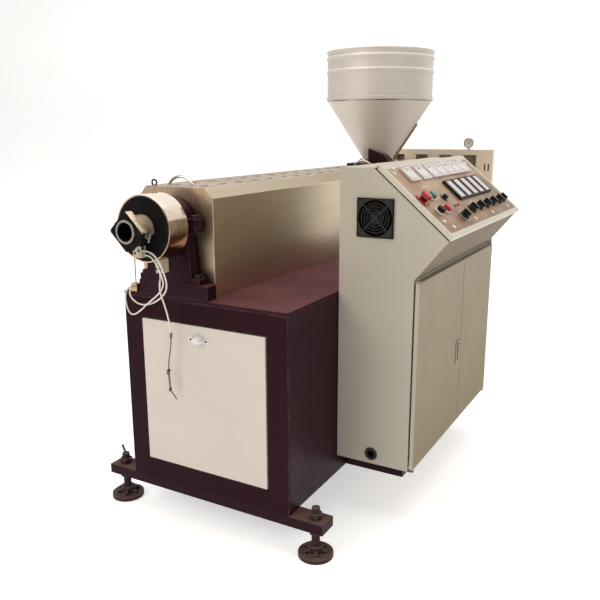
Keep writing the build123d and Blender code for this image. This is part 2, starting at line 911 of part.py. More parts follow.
def cabinet_door(y0, y1, pin_y):
    s = door_sheet
    leaf = slab(door_inner, door_outer, y0, y1, door_low, door_high)
    leaf -= slab(door_inner - cut_over, door_outer - s, y0 + s, y1 - s, door_low + s, door_high - s)
    return leaf - rod(hinge_pin_radius + fit_gap, (hinge_x, pin_y, door_low - cut_over),
                      (hinge_x, pin_y, door_high + cut_over))


def cabinet_door_front():
    return cabinet_door(cabinet_front, door_seam - door_seam_gap / 2, cabinet_front + hinge_edge)


def cabinet_door_rear():
    return cabinet_door(door_seam + door_seam_gap / 2, cabinet_back, cabinet_back - hinge_edge)


def door_hinges():
    pieces = []
    x1 = hinge_x + hinge_pin_radius + hinge_tab_edge
    high = cabinet_knee - (door_top_gap - hinge_tab) / 2
    low = cabinet_bottom + hinge_tab
    front_end = (cabinet_front, cabinet_front + hinge_tab_width, cabinet_front + hinge_edge)
    back_end = (cabinet_back - hinge_tab_width, cabinet_back, cabinet_back - hinge_edge)
    for y0, y1, pin_y in (front_end, back_end):
        pin_low = high - hinge_tab - hinge_pin_length
        upper = slab(door_face, x1, y0, y1, high - hinge_tab, high)
        upper += rod(hinge_pin_radius, (hinge_x, pin_y, pin_low), (hinge_x, pin_y, high))
        lower = slab(door_face, x1, y0, y1, cabinet_bottom, low)
        lower += rod(hinge_pin_radius, (hinge_x, pin_y, cabinet_bottom),
                     (hinge_x, pin_y, low + hinge_pin_length))
        pieces += [upper, lower]
    return together(pieces)


def door_pull():
    x1 = door_outer + pull_plate
    y1 = door_seam - door_seam_gap / 2 - pull_plate_edge
    y0 = y1 - pull_plate_width
    z0 = cabinet_bottom + pull_plate_share * cabinet_body_height - pull_plate_height / 2
    z1 = z0 + pull_plate_height
    rim = pull_plate_rim
    plate = slab(door_outer, x1, y0, y1, z0, z1)
    return plate - slab(door_outer + pull_plate_floor, x1 + cut_over, y0 + rim, y1 - rim,
                        z0 + rim, z1 - rim)


# Fan and cable entry

def fan_spokes(reach, y, depth, width):
    spokes = []
    for turn in range(fan_spoke_count):
        spoke = slab(0, reach, 0, depth, -width / 2, width / 2)
        angle = (turn + 0.5) * 360 / fan_spoke_count
        spokes.append(Pos(fan_x, y, fan_z) * Rot(0, angle, 0) * spoke)
    return spokes


def fan_plate(y0, y1, opening):
    half = fan_size / 2
    plate = slab(fan_x - half, fan_x + half, y0, y1, fan_z - half, fan_z + half)
    return plate - hole_y(opening, fan_x, fan_z, y0, y1)


def fan_guard():
    y0 = cabinet_front - fan_guard_depth
    y1 = y0 + fan_ring_width
    guard = fan_plate(y0, cabinet_front, fan_opening)
    step = fan_opening / (fan_ring_count + 1)
    guard += rod_y(step, fan_x, fan_z, y0, y1)
    for ring in range(1, fan_ring_count):
        outer = step * (ring + 1)
        hoop = rod_y(outer, fan_x, fan_z, y0, y1)
        guard += hoop - hole_y(outer - fan_ring_width, fan_x, fan_z, y0, y1)
    for spoke in fan_spokes(fan_opening + fan_ring_width, y0, fan_ring_width, fan_spoke_width):
        guard += spoke
    return guard


def fan_housing():
    y0 = cabinet_front + cabinet_sheet
    y1 = y0 + fan_depth
    arm_y = y1 - fan_arm_depth
    housing = fan_plate(y0, y1, fan_bore)
    housing += rod_y(rotor_hub_radius, fan_x, fan_z, arm_y, y1)
    for arm in fan_spokes(fan_bore + fan_ring_width, arm_y, fan_arm_depth, fan_arm_width):
        housing += arm
    return housing


def fan_rotor():
    boss = cabinet_front + cabinet_sheet + fan_depth - fan_arm_depth
    y1 = boss - rotor_gap
    y0 = y1 - rotor_depth
    rotor = rod_y(rotor_hub_radius, fan_x, fan_z, y0, boss - fit_gap)
    root = rotor_hub_radius - blade_root
    tip = fan_bore - rotor_tip_gap
    for turn in range(blade_count):
        blade = slab(root, tip, -blade_chord / 2, blade_chord / 2, -blade_thickness / 2, blade_thickness / 2)
        blade = Rot(0, turn * 360 / blade_count, 0) * Rot(blade_pitch_angle, 0, 0) * blade
        rotor += Pos(fan_x, (y0 + y1) / 2, fan_z) * blade
    return rotor


def cable_gland():
    y0 = cabinet_front - gland_flange_depth
    y1 = y0 + gland_length
    ring = rod_y(gland_neck + gland_lip, gland_x, gland_z, y0, cabinet_front)
    ring += rod_y(gland_neck, gland_x, gland_z, cabinet_front, y1)
    return ring - hole_y(gland_bore, gland_x, gland_z, y0, y1)


# Desk lid, built flat and laid on the slope

def on_desk(shape):
    return desk * shape


def lid_frame():
    b = lid_border
    r = lid_border - lid_rebate
    frame = slab(lid_top_gap, lid_end, 0, cabinet_length, lid_seal, lid_top)
    frame -= slab(lid_top_gap + b, lid_end - b, b, cabinet_length - b,
                  lid_seal - cut_over, lid_top + cut_over)
    frame -= slab(lid_top_gap + r, lid_end - r, r, cabinet_length - r,
                  plate_top - plate_thickness, lid_top + cut_over)
    return on_desk(frame)


def control_plate():
    g = lid_border - lid_rebate + plate_gap
    return on_desk(slab(lid_top_gap + g, lid_end - g, g, cabinet_length - g,
                        plate_top - plate_thickness, plate_top))


def lid_gasket():
    w = seal_width
    low = lid_top_gap + lid_seal
    seal = slab(low, slope_length, 0, cabinet_length, fit_gap, lid_seal)
    return on_desk(seal - slab(low + w, slope_length - w, w, cabinet_length - w,
                               fit_gap - cut_over, lid_seal + cut_over))


def lid_hinge():
    leaf = slab(slope_start - lid_hinge_leaf_width, lid_axis.X, cabinet_front, cabinet_back,
                cabinet_top, cabinet_top + lid_hinge_leaf)
    return leaf + rod_y(lid_hinge_radius, lid_axis.X, lid_axis.Z, cabinet_front, cabinet_back)


def stud(radius, u, v, low, high):
    return rod(radius, (u, v, low), (u, v, high))


def faced_block(u, v, width, height, depth):
    top = plate_top + depth
    h = height / 2
    w = width / 2
    block = slab(u - h, u + h, v - w, v + w, plate_top, top)
    h -= face_rim
    w -= face_rim
    return block - slab(u - h, u + h, v - w, v + w, top - face_recess, top + cut_over)


def panel_meters():
    u = meter_down_share * slope_length
    width = meter_width_share * cabinet_length
    height = meter_height_share * slope_length
    return on_desk(together([faced_block(u, share * cabinet_length, width, height, meter_depth)
                             for share in meter_along_shares]))


def temperature_controls():
    u = control_down_share * slope_length
    width = control_width_share * cabinet_length
    height = control_height_share * slope_length
    blocks = []
    for step in range(control_count):
        v = (control_first_share + step * control_pitch_share) * cabinet_length
        blocks.append(faced_block(u, v, width, height, control_depth))
    return on_desk(together(blocks))


def selector_knobs():
    knobs = []
    low = plate_top + knob_base
    grip = knob_grip / 2
    for down, along in knob_shares:
        u = down * slope_length
        v = along * cabinet_length
        knob = stud(knob_base_radius, u, v, plate_top, low)
        knob += stud(knob_radius, u, v, low, low + knob_depth / 2)
        knob += slab(u - knob_radius, u + knob_radius, v - grip, v + grip, low, plate_top + knob_depth)
        knobs.append(knob)
    u = dial_down_share * slope_length
    v = dial_along_share * cabinet_length
    dial = stud(dial_radius, u, v, plate_top, plate_top + dial_plate)
    dial += stud(dial_knob_radius, u, v, plate_top, plate_top + dial_knob_depth)
    return on_desk(together(knobs + [dial]))


def stop_button():
    half = stop_plate / 2
    u = stop_down_share * slope_length
    v = stop_along_share * cabinet_length
    top = plate_top + stop_depth
    button = slab(u - half, u + half, v - half, v + half, plate_top, plate_top + stop_plate_depth)
    button += stud(stop_stem_radius, u, v, plate_top, top - stop_head)
    return on_desk(button + stud(stop_head_radius, u, v, top - stop_head, top))


def push_buttons():
    places = [(start_down_share, start_along_share)]
    places += [(button_row_down_share, share) for share in button_row_along_shares]
    buttons = []
    for down, along in places:
        u = down * slope_length
        v = along * cabinet_length
        button = stud(button_collar_radius, u, v, plate_top, plate_top + button_collar)
        buttons.append(button + stud(button_radius, u, v, plate_top, plate_top + button_depth))
    return on_desk(together(buttons))


# Heater plugs, terminal and wires

def heater_plugs():
    front = slab(plug_side - plug_width / 2, plug_right, plug_front, -flange_front,
                 plug_z - plug_height / 2, plug_z + plug_height / 2)
    half = band_plug_width / 2
    depth = band_plug_depth / 2
    low = axis_height - band_outer
    under = slab(band_plug_side - half, band_plug_side + half, band_middle - depth, band_middle + depth,
                 band_plug_bottom, low + band_plug_side)
    under -= hole_y(band_outer, 0, axis_height, band_middle - depth, band_middle + depth)
    return together([front, under])


def corner_terminal():
    half = terminal_width / 2
    return slab(terminal_x - half, terminal_x + half, terminal_setback, terminal_setback + terminal_depth,
                base_top, terminal_top)


def from_point(start, offsets):
    return [tuple(a + b for a, b in zip(start, offset)) for offset in offsets]


def bent_tube(points, radius):
    runs = [Vector(*b) - Vector(*a) for a, b in zip(points, points[1:])]
    radii = []
    for before, after in zip(runs, runs[1:]):
        half_turn = before.get_angle(after) * pi / 360
        radii.append(bend_share * min(before.length, after.length) / tan(half_turn))
    print("bend radii", [round(r, 1) for r in radii], "length", round(sum(run.length for run in runs)))
    route = FilletPolyline(*points, radius=radii)
    return sweep(Plane(origin=points[0], z_dir=runs[0]) * Circle(radius), path=route)


def upper_heater_lead():
    start = (plug_right, plug_front + upper_lead_in, plug_z + upper_lead_up)
    end = (terminal_x + lead_pair / 2, terminal_setback, base_top + lead_entry)
    points = [start] + from_point(start, upper_lead_bends) + from_point(end, upper_lead_rise) + [end]
    return bent_tube(points, lead_radius)


def lower_heater_lead():
    start = (plug_right, plug_front + lower_lead_in, plug_z - lower_lead_down)
    end = (terminal_x - lead_pair / 2, terminal_setback, base_top + lead_entry)
    points = [start] + from_point(start, lower_lead_bends) + from_point(end, lower_lead_rise) + [end]
    return bent_tube(points, lead_radius)


def sensor_lead_points():
    start = (band_plug_side + sensor_side, band_middle - sensor_setback, band_plug_bottom)
    return [start] + from_point(start, sensor_lead_bends)


def sensor_lead():
    return bent_tube(sensor_lead_points(), lead_radius)


def sensor_probe():
    start = sensor_lead_points()[-1]
    points = [start] + from_point(start, probe_bends)
    probe = bent_tube(points, probe_radius)
    run = (Vector(*points[1]) - Vector(*start)).normalized()
    probe += rod(probe_sleeve_radius, start, Vector(*start) + run * probe_sleeve)
    for place in from_point(start, probe_bead_places):
        probe += Pos(*place) * Sphere(probe_bead)
    return probe


def earth_wire():
    z = axis_height - (band_outer ** 2 - earth_side ** 2) ** 0.5 - earth_radius
    start = (earth_side, earth_setback - flange_front, z)
    end = (terminal_x, terminal_setback + terminal_depth / 2, terminal_top)
    return rod(earth_radius, start, end) - corner_terminal()


# Every piece, moved so that the middle of the machine is the origin

nodes = [
    base_front_wall, base_side_walls, base_rear_wall, base_top_plate, crossbars, levelling_screws,
    foot_pads, access_panel, access_panel_pull, barrel_pedestal, barrel_stand, barrel_clamp_cap,
    barrel, die_flange, heater_band, die_adaptor, hood_end_plates, hood_cover, hood_handles,
    feed_throat, hopper_cone, hopper_wall, hopper_sight_strip, drain_chute, gearbox_housing,
    gearbox_cover, belt_guard, pressure_gauge, cabinet_carrier, cabinet_front_wall, cabinet_rear_wall,
    cabinet_back_wall, cabinet_floor, cabinet_top_plate, desk_underside, door_hinges,
    cabinet_door_front, door_pull, cabinet_door_rear, fan_guard, fan_housing, fan_rotor, cable_gland,
    lid_hinge, lid_frame, lid_gasket, control_plate, panel_meters, temperature_controls,
    selector_knobs, stop_button, push_buttons, heater_plugs, corner_terminal, upper_heater_lead,
    lower_heater_lead, sensor_lead, sensor_probe, earth_wire,
]

os.makedirs("parts", exist_ok=True)
for node in nodes:
    export_step(Pos(-middle_x, -middle_y, 0) * node(), f"parts/{node.__name__}.step")

print("origin shift", round(-middle_x, 3), round(-middle_y, 3))
print("lid hinge", round(lid_axis.X - middle_x, 3), round(lid_axis.Z, 3))
print("door hinges", round(hinge_x - middle_x, 3), cabinet_front + hinge_edge - middle_y,
      cabinet_back - hinge_edge - middle_y)
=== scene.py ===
import json
import math

import bmesh
import bpy
from mathutils import Matrix, Quaternion, Vector

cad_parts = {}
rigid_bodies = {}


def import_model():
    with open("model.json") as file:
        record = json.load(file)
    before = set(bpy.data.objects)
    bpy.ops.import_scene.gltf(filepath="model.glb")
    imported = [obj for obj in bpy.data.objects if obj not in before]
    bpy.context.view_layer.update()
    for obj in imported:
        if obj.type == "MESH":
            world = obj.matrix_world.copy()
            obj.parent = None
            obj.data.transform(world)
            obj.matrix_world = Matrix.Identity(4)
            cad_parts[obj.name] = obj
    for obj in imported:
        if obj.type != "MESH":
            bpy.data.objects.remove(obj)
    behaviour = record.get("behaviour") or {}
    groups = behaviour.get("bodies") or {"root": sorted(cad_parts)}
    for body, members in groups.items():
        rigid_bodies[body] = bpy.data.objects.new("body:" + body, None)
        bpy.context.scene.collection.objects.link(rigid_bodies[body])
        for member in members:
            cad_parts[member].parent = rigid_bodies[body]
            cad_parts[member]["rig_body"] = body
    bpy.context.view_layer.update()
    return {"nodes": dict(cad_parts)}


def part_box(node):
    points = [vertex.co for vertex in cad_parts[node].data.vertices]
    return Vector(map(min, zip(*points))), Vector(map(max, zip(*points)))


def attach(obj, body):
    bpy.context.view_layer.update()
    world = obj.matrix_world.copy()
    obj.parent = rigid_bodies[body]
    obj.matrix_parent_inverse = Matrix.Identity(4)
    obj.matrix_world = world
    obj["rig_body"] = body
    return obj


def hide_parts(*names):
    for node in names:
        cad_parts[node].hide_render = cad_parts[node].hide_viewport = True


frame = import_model()


# Base: a welded box of steel plates on two crossbars, sprayed with dark maroon gloss paint.
# The paint has rubbed paler along the edges, and a film of dust dulls what lies flat.

def feed(tree, socket, value):
    """Links the value to the socket, or sets it there if it is a plain number or colour."""
    if isinstance(value, bpy.types.NodeSocket):
        tree.links.new(value, socket)
    elif isinstance(value, tuple) and socket.type == "RGBA":
        socket.default_value = (*value, 1.0)
    else:
        socket.default_value = value


def add(tree, kind, **settings):
    """A new node. A key that names an input feeds that input, and any other sets the node itself."""
    node = tree.nodes.new(kind)
    for key, value in settings.items():
        words = key.replace("_", " ")
        label = next((name for name in (words.capitalize(), words.title()) if name in node.inputs), None)
        if label:
            feed(tree, node.inputs[label], value)
        else:
            setattr(node, key, value)
    return node


def sums(tree, operation, *values):
    """The result of one sum, such as ADD or MULTIPLY, of the values."""
    node = add(tree, "ShaderNodeMath", operation=operation)
    for socket, value in zip(node.inputs, values):
        feed(tree, socket, value)
    return node.outputs[0]


def between(tree, value, low, high, at_low=0.0, at_high=1.0):
    """Runs from at_low to at_high as the value goes from low to high, and stays level beyond."""
    return add(tree, "ShaderNodeMapRange", value=value, from_min=low, from_max=high, to_min=at_low,
               to_max=at_high).outputs["Result"]


def spread(tree, grain, at_low=0.0, at_high=1.0):
    """Noise, which keeps to its middle values, drawn out over the whole range."""
    return between(tree, grain, 0.3, 0.7, at_low, at_high)


def noise(tree, scale, detail=4.0, stretch=(1.0, 1.0, 1.0)):
    """Noise over the piece's own coordinates in metres, drawn out along the smaller stretches."""
    own = add(tree, "ShaderNodeTexCoord").outputs["Object"]
    drawn = add(tree, "ShaderNodeMapping", vector=own, scale=stretch).outputs["Vector"]
    return add(tree, "ShaderNodeTexNoise", vector=drawn, scale=scale, detail=detail).outputs["Fac"]


def axes(tree, kind):
    """The X, Y and Z of a coordinate, such as the piece's own place or the way a face looks."""
    place = add(tree, "ShaderNodeTexCoord").outputs[kind]
    return add(tree, "ShaderNodeSeparateXYZ", vector=place).outputs


def mixed(tree, mask, first, second):
    """The first colour where the mask is 0, and the second where it is 1."""
    node = add(tree, "ShaderNodeMix", data_type="RGBA")
    feed(tree, node.inputs["Factor"], mask)
    colours = [socket for socket in node.inputs if socket.type == "RGBA"]
    feed(tree, colours[0], first)
    feed(tree, colours[1], second)
    return next(socket for socket in node.outputs if socket.type == "RGBA")


def shader_group(name, inputs, outputs):
    """An empty shader node group with the named inputs and outputs."""
    tree = bpy.data.node_groups.new(name, "ShaderNodeTree")
    for label, value in inputs.items():
        socket = tree.interface.new_socket(label, in_out="INPUT", socket_type="NodeSocketFloat")
        socket.default_value = value
    for label in outputs:
        tree.interface.new_socket(label, in_out="OUTPUT", socket_type="NodeSocketFloat")
    return tree, tree.nodes.new("NodeGroupInput").outputs, tree.nodes.new("NodeGroupOutput").inputs


def placed(tree, group, **values):
    """The outputs of a group that is placed in the tree with its own values."""
    return add(tree, "ShaderNodeGroup", node_tree=group, **values).outputs


edge_wear, given, out = shader_group("edge_wear", {"Scale": 40.0, "Bare": 0.5}, ["Mask"])
rubbed = add(edge_wear, "ShaderNodeAttribute", attribute_name="wear").outputs["Fac"]
kept = sums(edge_wear, "SUBTRACT", 1.0, given["Bare"])
patches = between(edge_wear, noise(edge_wear, given["Scale"]), sums(edge_wear, "SUBTRACT", kept, 0.15),
                  sums(edge_wear, "ADD", kept, 0.15))
feed(edge_wear, out["Mask"], sums(edge_wear, "MULTIPLY", rubbed, patches))

settled_dust, given, out = shader_group("settled_dust", {"Scale": 5.0, "Amount": 0.5}, ["Mask"])
level = between(settled_dust, axes(settled_dust, "Normal")["Z"], 0.5, 1.0)
drift = between(settled_dust, noise(settled_dust, given["Scale"], 7.0), 0.3, 0.75, 0.45, 1.0)
film = sums(settled_dust, "MULTIPLY", given["Amount"], drift)
feed(settled_dust, out["Mask"], sums(settled_dust, "MULTIPLY", level, film))

spray_grain, given, out = shader_group("spray_grain", {"Scale": 500.0, "Cloud": 2.5}, ["Height", "Tone"])
feed(spray_grain, out["Height"], noise(spray_grain, given["Scale"], 2.0))
feed(spray_grain, out["Tone"], spread(spray_grain, noise(spray_grain, given["Cloud"], 6.0)))


def new_material(name):
    """A new material and its node tree."""
    made = bpy.data.materials.new(name)
    made.use_nodes = True
    return made, made.node_tree


def surfaced(made, colour, roughness, height, strength, depth, metallic=0.0, shine=0.5):
    """Closes a material with its colour, roughness and share of bare metal, and bumps along a height."""
    tree = made.node_tree
    bump = add(tree, "ShaderNodeBump", height=height, strength=strength, distance=depth)
    values = {"Base Color": colour, "Roughness": roughness, "Metallic": metallic,
              "Specular IOR Level": shine, "Normal": bump.outputs["Normal"]}
    for label, value in values.items():
        feed(tree, tree.nodes["Principled BSDF"].inputs[label], value)
    return made


def paint(name, colour, shade, worn, gloss, dust=0.0, dust_colour=(0.3, 0.25, 0.22), bare=0.5, shine=0.4,
          soil_and_shade=None, shade_heights=(0.0, 1.0)):
    """Sprayed paint, dusty where it faces up, worn at the edges, and given a painted shade that darkens it
    downwards between two heights.
    """
    made, tree = new_material(name)
    grain = placed(tree, spray_grain)
    film = placed(tree, settled_dust, Amount=dust)["Mask"]
    coat = mixed(tree, grain["Tone"], shade, colour)
    # A painted shade: the coat darkens downwards between the two heights.
    if soil_and_shade:
        coat = mixed(tree, between(tree, axes(tree, "Object")["Z"], *shade_heights), soil_and_shade, coat)
    coat = mixed(tree, film, coat, dust_colour)
    coat = mixed(tree, placed(tree, edge_wear, Bare=bare)["Mask"], coat, worn)
    smear = spread(tree, noise(tree, 9.0, 6.0), gloss, gloss + 0.12)
    rough = sums(tree, "ADD", smear, sums(tree, "MULTIPLY", film, 0.35))
    return surfaced(made, coat, rough, grain["Height"], 0.12, 0.0004, shine=shine)


def settled(rough, name, body, slot, *nodes):
    """Turns the rough object into a plain mesh at the origin that rides on the body."""
    mesh = bpy.data.meshes.new_from_object(rough.evaluated_get(bpy.context.evaluated_depsgraph_get()))
    mesh.transform(rough.matrix_world)
    bpy.data.objects.remove(rough)
    piece = bpy.data.objects.new(name, mesh)
    bpy.context.collection.objects.link(piece)
    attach(piece, body)
    if nodes:
        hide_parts(*nodes)
    return piece


def rounded(mesh, name, edge, finish, body, slot, *nodes, sharp=35.0):
    """Breaks the mesh's sharp edges with a small round, and marks the middle of each round as worn."""
    mesh.materials.clear()
    mesh.materials.append(finish)
    mesh.materials.append(finish)
    rough = bpy.data.objects.new(f"{name}_rough", mesh)
    bpy.context.collection.objects.link(rough)
    bevel = rough.modifiers.new("edge", "BEVEL")
    bevel.width = edge
    bevel.segments = 2
    bevel.limit_method = "ANGLE"
    bevel.angle_limit = math.radians(sharp)
    bevel.material = 1
    rough.modifiers.new("even", "WEIGHTED_NORMAL")
    for face in mesh.polygons:
        face.use_smooth = True
    piece = settled(rough, name, body, slot, *nodes)
    wear = [1.0] * len(piece.data.vertices)
    for face in piece.data.polygons:
        if face.material_index == 0:
            for vertex in face.vertices:
                wear[vertex] = 0.0
        face.material_index = 0
    piece.data.attributes.new("wear", "FLOAT", "POINT").data.foreach_set("value", wear)
    piece.data.materials.pop()
    return piece


def dressed(node, edge, finish, slot, sharp=35.0):
    """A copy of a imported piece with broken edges, which stands for it."""
    mesh = frame["nodes"][node].data.copy()
    bm = bmesh.new()
    bm.from_mesh(mesh)
    bmesh.ops.remove_doubles(bm, verts=bm.verts, dist=0.00002)
    bmesh.ops.dissolve_limit(bm, angle_limit=math.radians(0.5), verts=bm.verts, edges=bm.edges)
    bm.to_mesh(mesh)
    bm.free()
    body = frame["nodes"][node]["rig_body"]
    return rounded(mesh, f"{node}_finish", edge, finish, body, slot, node, sharp=sharp)


chipped = (0.12, 0.055, 0.06)
red_dust = (0.185, 0.066, 0.07)
maroon_paint = paint("maroon_paint", (0.028, 0.0075, 0.0135), (0.02, 0.0052, 0.0095), chipped, 0.3,
                     dust=0.8, dust_colour=red_dust, shine=0.08)
# The front wall gets a darker, duller copy of the maroon paint: a painted shade.
front_shaded_maroon = paint("front_shaded_maroon", (0.024, 0.0055, 0.01), (0.017, 0.004, 0.0075), chipped, 0.3,
                     dust=0.8, dust_colour=red_dust, shine=0.05)
plate_edge = 0.0025
dressed("base_front_wall", plate_edge, front_shaded_maroon, "purple_paint")
for node in ("base_side_walls", "base_rear_wall", "base_top_plate"):
    dressed(node, plate_edge, maroon_paint, "purple_paint")
trodden_paint = paint("trodden_paint", (0.024, 0.006, 0.01), (0.017, 0.004, 0.007), (0.14, 0.065, 0.065),
                      0.4, dust=0.95, dust_colour=(0.21, 0.115, 0.095), shine=0.08)
dressed("crossbars", plate_edge, trodden_paint, "purple_paint")


# Levelling feet: threaded steel studs with a nut above and below each crossbar, standing in ribbed
# cast pads. They are painted over with the base, the paint has chipped off the threads, and a short
# turning lever is left in one of them.

def sized_tree(name, **sizes):
    """A Geometry Nodes tree with places, a finish, a direction and the named sizes as inputs."""
    tree = bpy.data.node_groups.new(name, "GeometryNodeTree")
    for label, kind in (("Places", "Geometry"), ("Finish", "Material"), ("Direction", "Vector")):
        tree.interface.new_socket(label, in_out="INPUT", socket_type=f"NodeSocket{kind}")
    for label, value in sizes.items():
        kind = "NodeSocketInt" if isinstance(value, int) else "NodeSocketFloat"
        tree.interface.new_socket(label, in_out="INPUT", socket_type=kind).default_value = value
    tree.interface.new_socket("Geometry", in_out="OUTPUT", socket_type="NodeSocketGeometry")
    return tree, tree.nodes.new("NodeGroupInput").outputs


def repeated(tree, given, shape, twist=0.0):
    """Sets the shape on every place, standing along the direction, and closes the tree."""
    aligned = add(tree, "FunctionNodeAlignRotationToVector", axis="Z", vector=given["Direction"])
    random_turn = add(tree, "FunctionNodeRandomValue", data_type="FLOAT", seed=7)
    for socket in random_turn.inputs:
        if socket.name == "Max" and socket.type == "VALUE":
            socket.default_value = twist
    angle = next(socket for socket in random_turn.outputs if socket.type == "VALUE")
    turn = add(tree, "FunctionNodeAxisAngleToRotation", axis=(0.0, 0.0, 1.0), angle=angle)
    both = add(tree, "FunctionNodeRotateRotation", rotation_space="LOCAL",
               rotation=aligned.outputs["Rotation"], rotate_by=turn.outputs["Rotation"])
    instances = add(tree, "GeometryNodeInstanceOnPoints", points=given["Places"], instance=shape,
                    rotation=both.outputs["Rotation"])
    real = add(tree, "GeometryNodeRealizeInstances", geometry=instances.outputs["Instances"])
    last = add(tree, "GeometryNodeSetMaterial", geometry=real.outputs["Geometry"], material=given["Finish"])
    feed(tree, tree.nodes.new("NodeGroupOutput").inputs["Geometry"], last.outputs["Geometry"])


def grown(name, tree, places, direction, finish, slot, body="machine", **sizes):
    """Runs the tree on a mesh of bare points and keeps the result as a plain mesh."""
    mesh = bpy.data.meshes.new(name)
    mesh.from_pydata([tuple(place) for place in places], [], [])
    rough = bpy.data.objects.new(f"{name}_rough", mesh)
    bpy.context.collection.objects.link(rough)
    modifier = rough.modifiers.new("repeat", "NODES")
    modifier.node_group = tree
    values = {"Finish": finish, "Direction": direction, **sizes}
    for item in tree.interface.items_tree:
        if item.in_out == "INPUT" and item.name in values:
            modifier[item.identifier] = values[item.name]
    return settled(rough, name, body, slot)


thread, given = sized_tree("thread", radius=0.012, pitch=0.003, length=0.06, crest=0.0011)
turns = sums(thread, "DIVIDE", given["length"], given["pitch"])
spiral = add(thread, "GeometryNodeCurveSpiral", resolution=14, rotations=turns, start_radius=given["radius"],
             end_radius=given["radius"], height=given["length"])
crest = add(thread, "GeometryNodeCurvePrimitiveCircle", resolution=5, radius=given["crest"])
ridge = add(thread, "GeometryNodeCurveToMesh", curve=spiral.outputs["Curve"],
            profile_curve=crest.outputs["Curve"], fill_caps=True)
repeated(thread, given, ridge.outputs["Mesh"])

foot_iron = paint("foot_iron", (0.045, 0.022, 0.021), (0.024, 0.013, 0.013), (0.24, 0.18, 0.155), 0.5,
                  dust=0.9, dust_colour=(0.17, 0.1, 0.085), bare=0.65, shine=0.2)
dressed("levelling_screws", 0.001, foot_iron, "foot_zinc")
dressed("foot_pads", 0.002, foot_iron, "foot_zinc")
screws_low, screws_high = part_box("levelling_screws")
bars_low, bars_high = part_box("crossbars")
nut_height = 0.018
stud_radius = 0.012
nut_radius = 0.021
bar_width = 0.07
upward = (0.0, 0.0, 1.0)
stud_x = (screws_low.x + nut_radius, screws_high.x - nut_radius)
stud_y = (bars_low.y + bar_width / 2, bars_high.y - bar_width / 2)
lower_run = bars_low.z - nut_height - screws_low.z
upper_run = screws_high.z - bars_high.z - nut_height
for part, low, run in (("lower", screws_low.z, lower_run), ("upper", bars_high.z + nut_height, upper_run)):
    grown(f"stud_thread_{part}", thread, [(x, y, low) for x in stud_x for y in stud_y], upward, foot_iron,
          "foot_zinc", radius=stud_radius, length=run)


def blocks(name, corners, edge, finish, slot, body="machine", place=None):
    """Closed boxes between pairs of corners, with broken edges, laid on a place if one is given."""
    bm = bmesh.new()
    for low, high in corners:
        middle = (Vector(low) + Vector(high)) / 2
        size = Vector(high) - Vector(low)
        shift = Matrix.Translation(middle) @ Matrix.Diagonal((*size, 1.0))
        bmesh.ops.create_cube(bm, size=1.0, matrix=shift)
    mesh = bpy.data.meshes.new(name)
    bm.to_mesh(mesh)
    bm.free()
    if place:
        mesh.transform(place)
    return rounded(mesh, name, edge, finish, body, slot)


lever_lean = Matrix.Rotation(math.radians(-24.0), 4, "Y")
lever_place = Matrix.Translation((stud_x[0], stud_y[0], screws_high.z - 0.004)) @ lever_lean
lever = ((-0.003, -0.003, -0.006), (0.003, 0.003, 0.034))
blocks("screw_lever", [lever], 0.001, foot_iron, "foot_zinc", place=lever_place)


# Access panel: a pressed sheet tray in the front opening, sprayed cream, with a pressed cup pull
# of dull nickel held by two small screws.

def lifted(tree, geometry, rise):
    """The geometry moved up by the rise, a socket."""
    up = add(tree, "ShaderNodeCombineXYZ", z=rise).outputs["Vector"]
    return add(tree, "GeometryNodeTransform", geometry=geometry, translation=up).outputs["Geometry"]


def dome(tree, given):
    """A ball drawn flat to the tree's radius and height."""
    ball = add(tree, "GeometryNodeMeshUVSphere", segments=16, rings=8, radius=1.0).outputs["Mesh"]
    size = add(tree, "ShaderNodeCombineXYZ", x=given["radius"], y=given["radius"], z=given["height"])
    flat = add(tree, "GeometryNodeTransform", geometry=ball, scale=size.outputs["Vector"])
    return flat.outputs["Geometry"]


screw, given = sized_tree("slotted_screw", radius=0.004, height=0.002, groove=0.0009)
blade_size = add(screw, "ShaderNodeCombineXYZ", x=sums(screw, "MULTIPLY", given["radius"], 3.0),
                 y=given["groove"], z=given["height"])
blade = add(screw, "GeometryNodeMeshCube", size=blade_size.outputs["Vector"]).outputs["Mesh"]
cut = add(screw, "GeometryNodeMeshBoolean", operation="DIFFERENCE", mesh_1=dome(screw, given),
          mesh_2=lifted(screw, blade, given["height"]))
repeated(screw, given, cut.outputs["Mesh"], twist=3.1)

panel_paint = paint("panel_paint", (0.62, 0.565, 0.5), (0.56, 0.505, 0.435), (0.95, 0.92, 0.86), 0.33,
                    dust=0.3, dust_colour=(0.75, 0.7, 0.6), bare=0.85)
dressed("access_panel", 0.0018, panel_paint, "cream_paint")


def satin_sheet(name, colour, shade, worn, seam=None):
    """Sheet steel with a dull rolled skin, half bare metal and half a grey film, and a painted shade in
    blotches under its seam.
    """
    made, tree = new_material(name)
    rolled = noise(tree, 40.0, 4.0, (1.0, 1.0, 0.15))
    tone = mixed(tree, spread(tree, noise(tree, 2.2, 6.0)), shade, colour)
    # A painted shade: a blotchy dark band just under the seam.
    if seam:
        seam_shade_band = between(tree, axes(tree, "Object")["Z"], seam - 0.007, seam - 0.004)
        shade_breakup = between(tree, noise(tree, 11.0, 3.0), 0.3, 0.6, 0.25, 1.0)
        tone = mixed(tree, sums(tree, "MULTIPLY", seam_shade_band, shade_breakup), tone, (0.1, 0.076, 0.06))
    tone = mixed(tree, placed(tree, edge_wear, Bare=0.8)["Mask"], tone, worn)
    return surfaced(made, tone, spread(tree, rolled, 0.4, 0.52), rolled, 0.15, 0.0001, metallic=0.2)


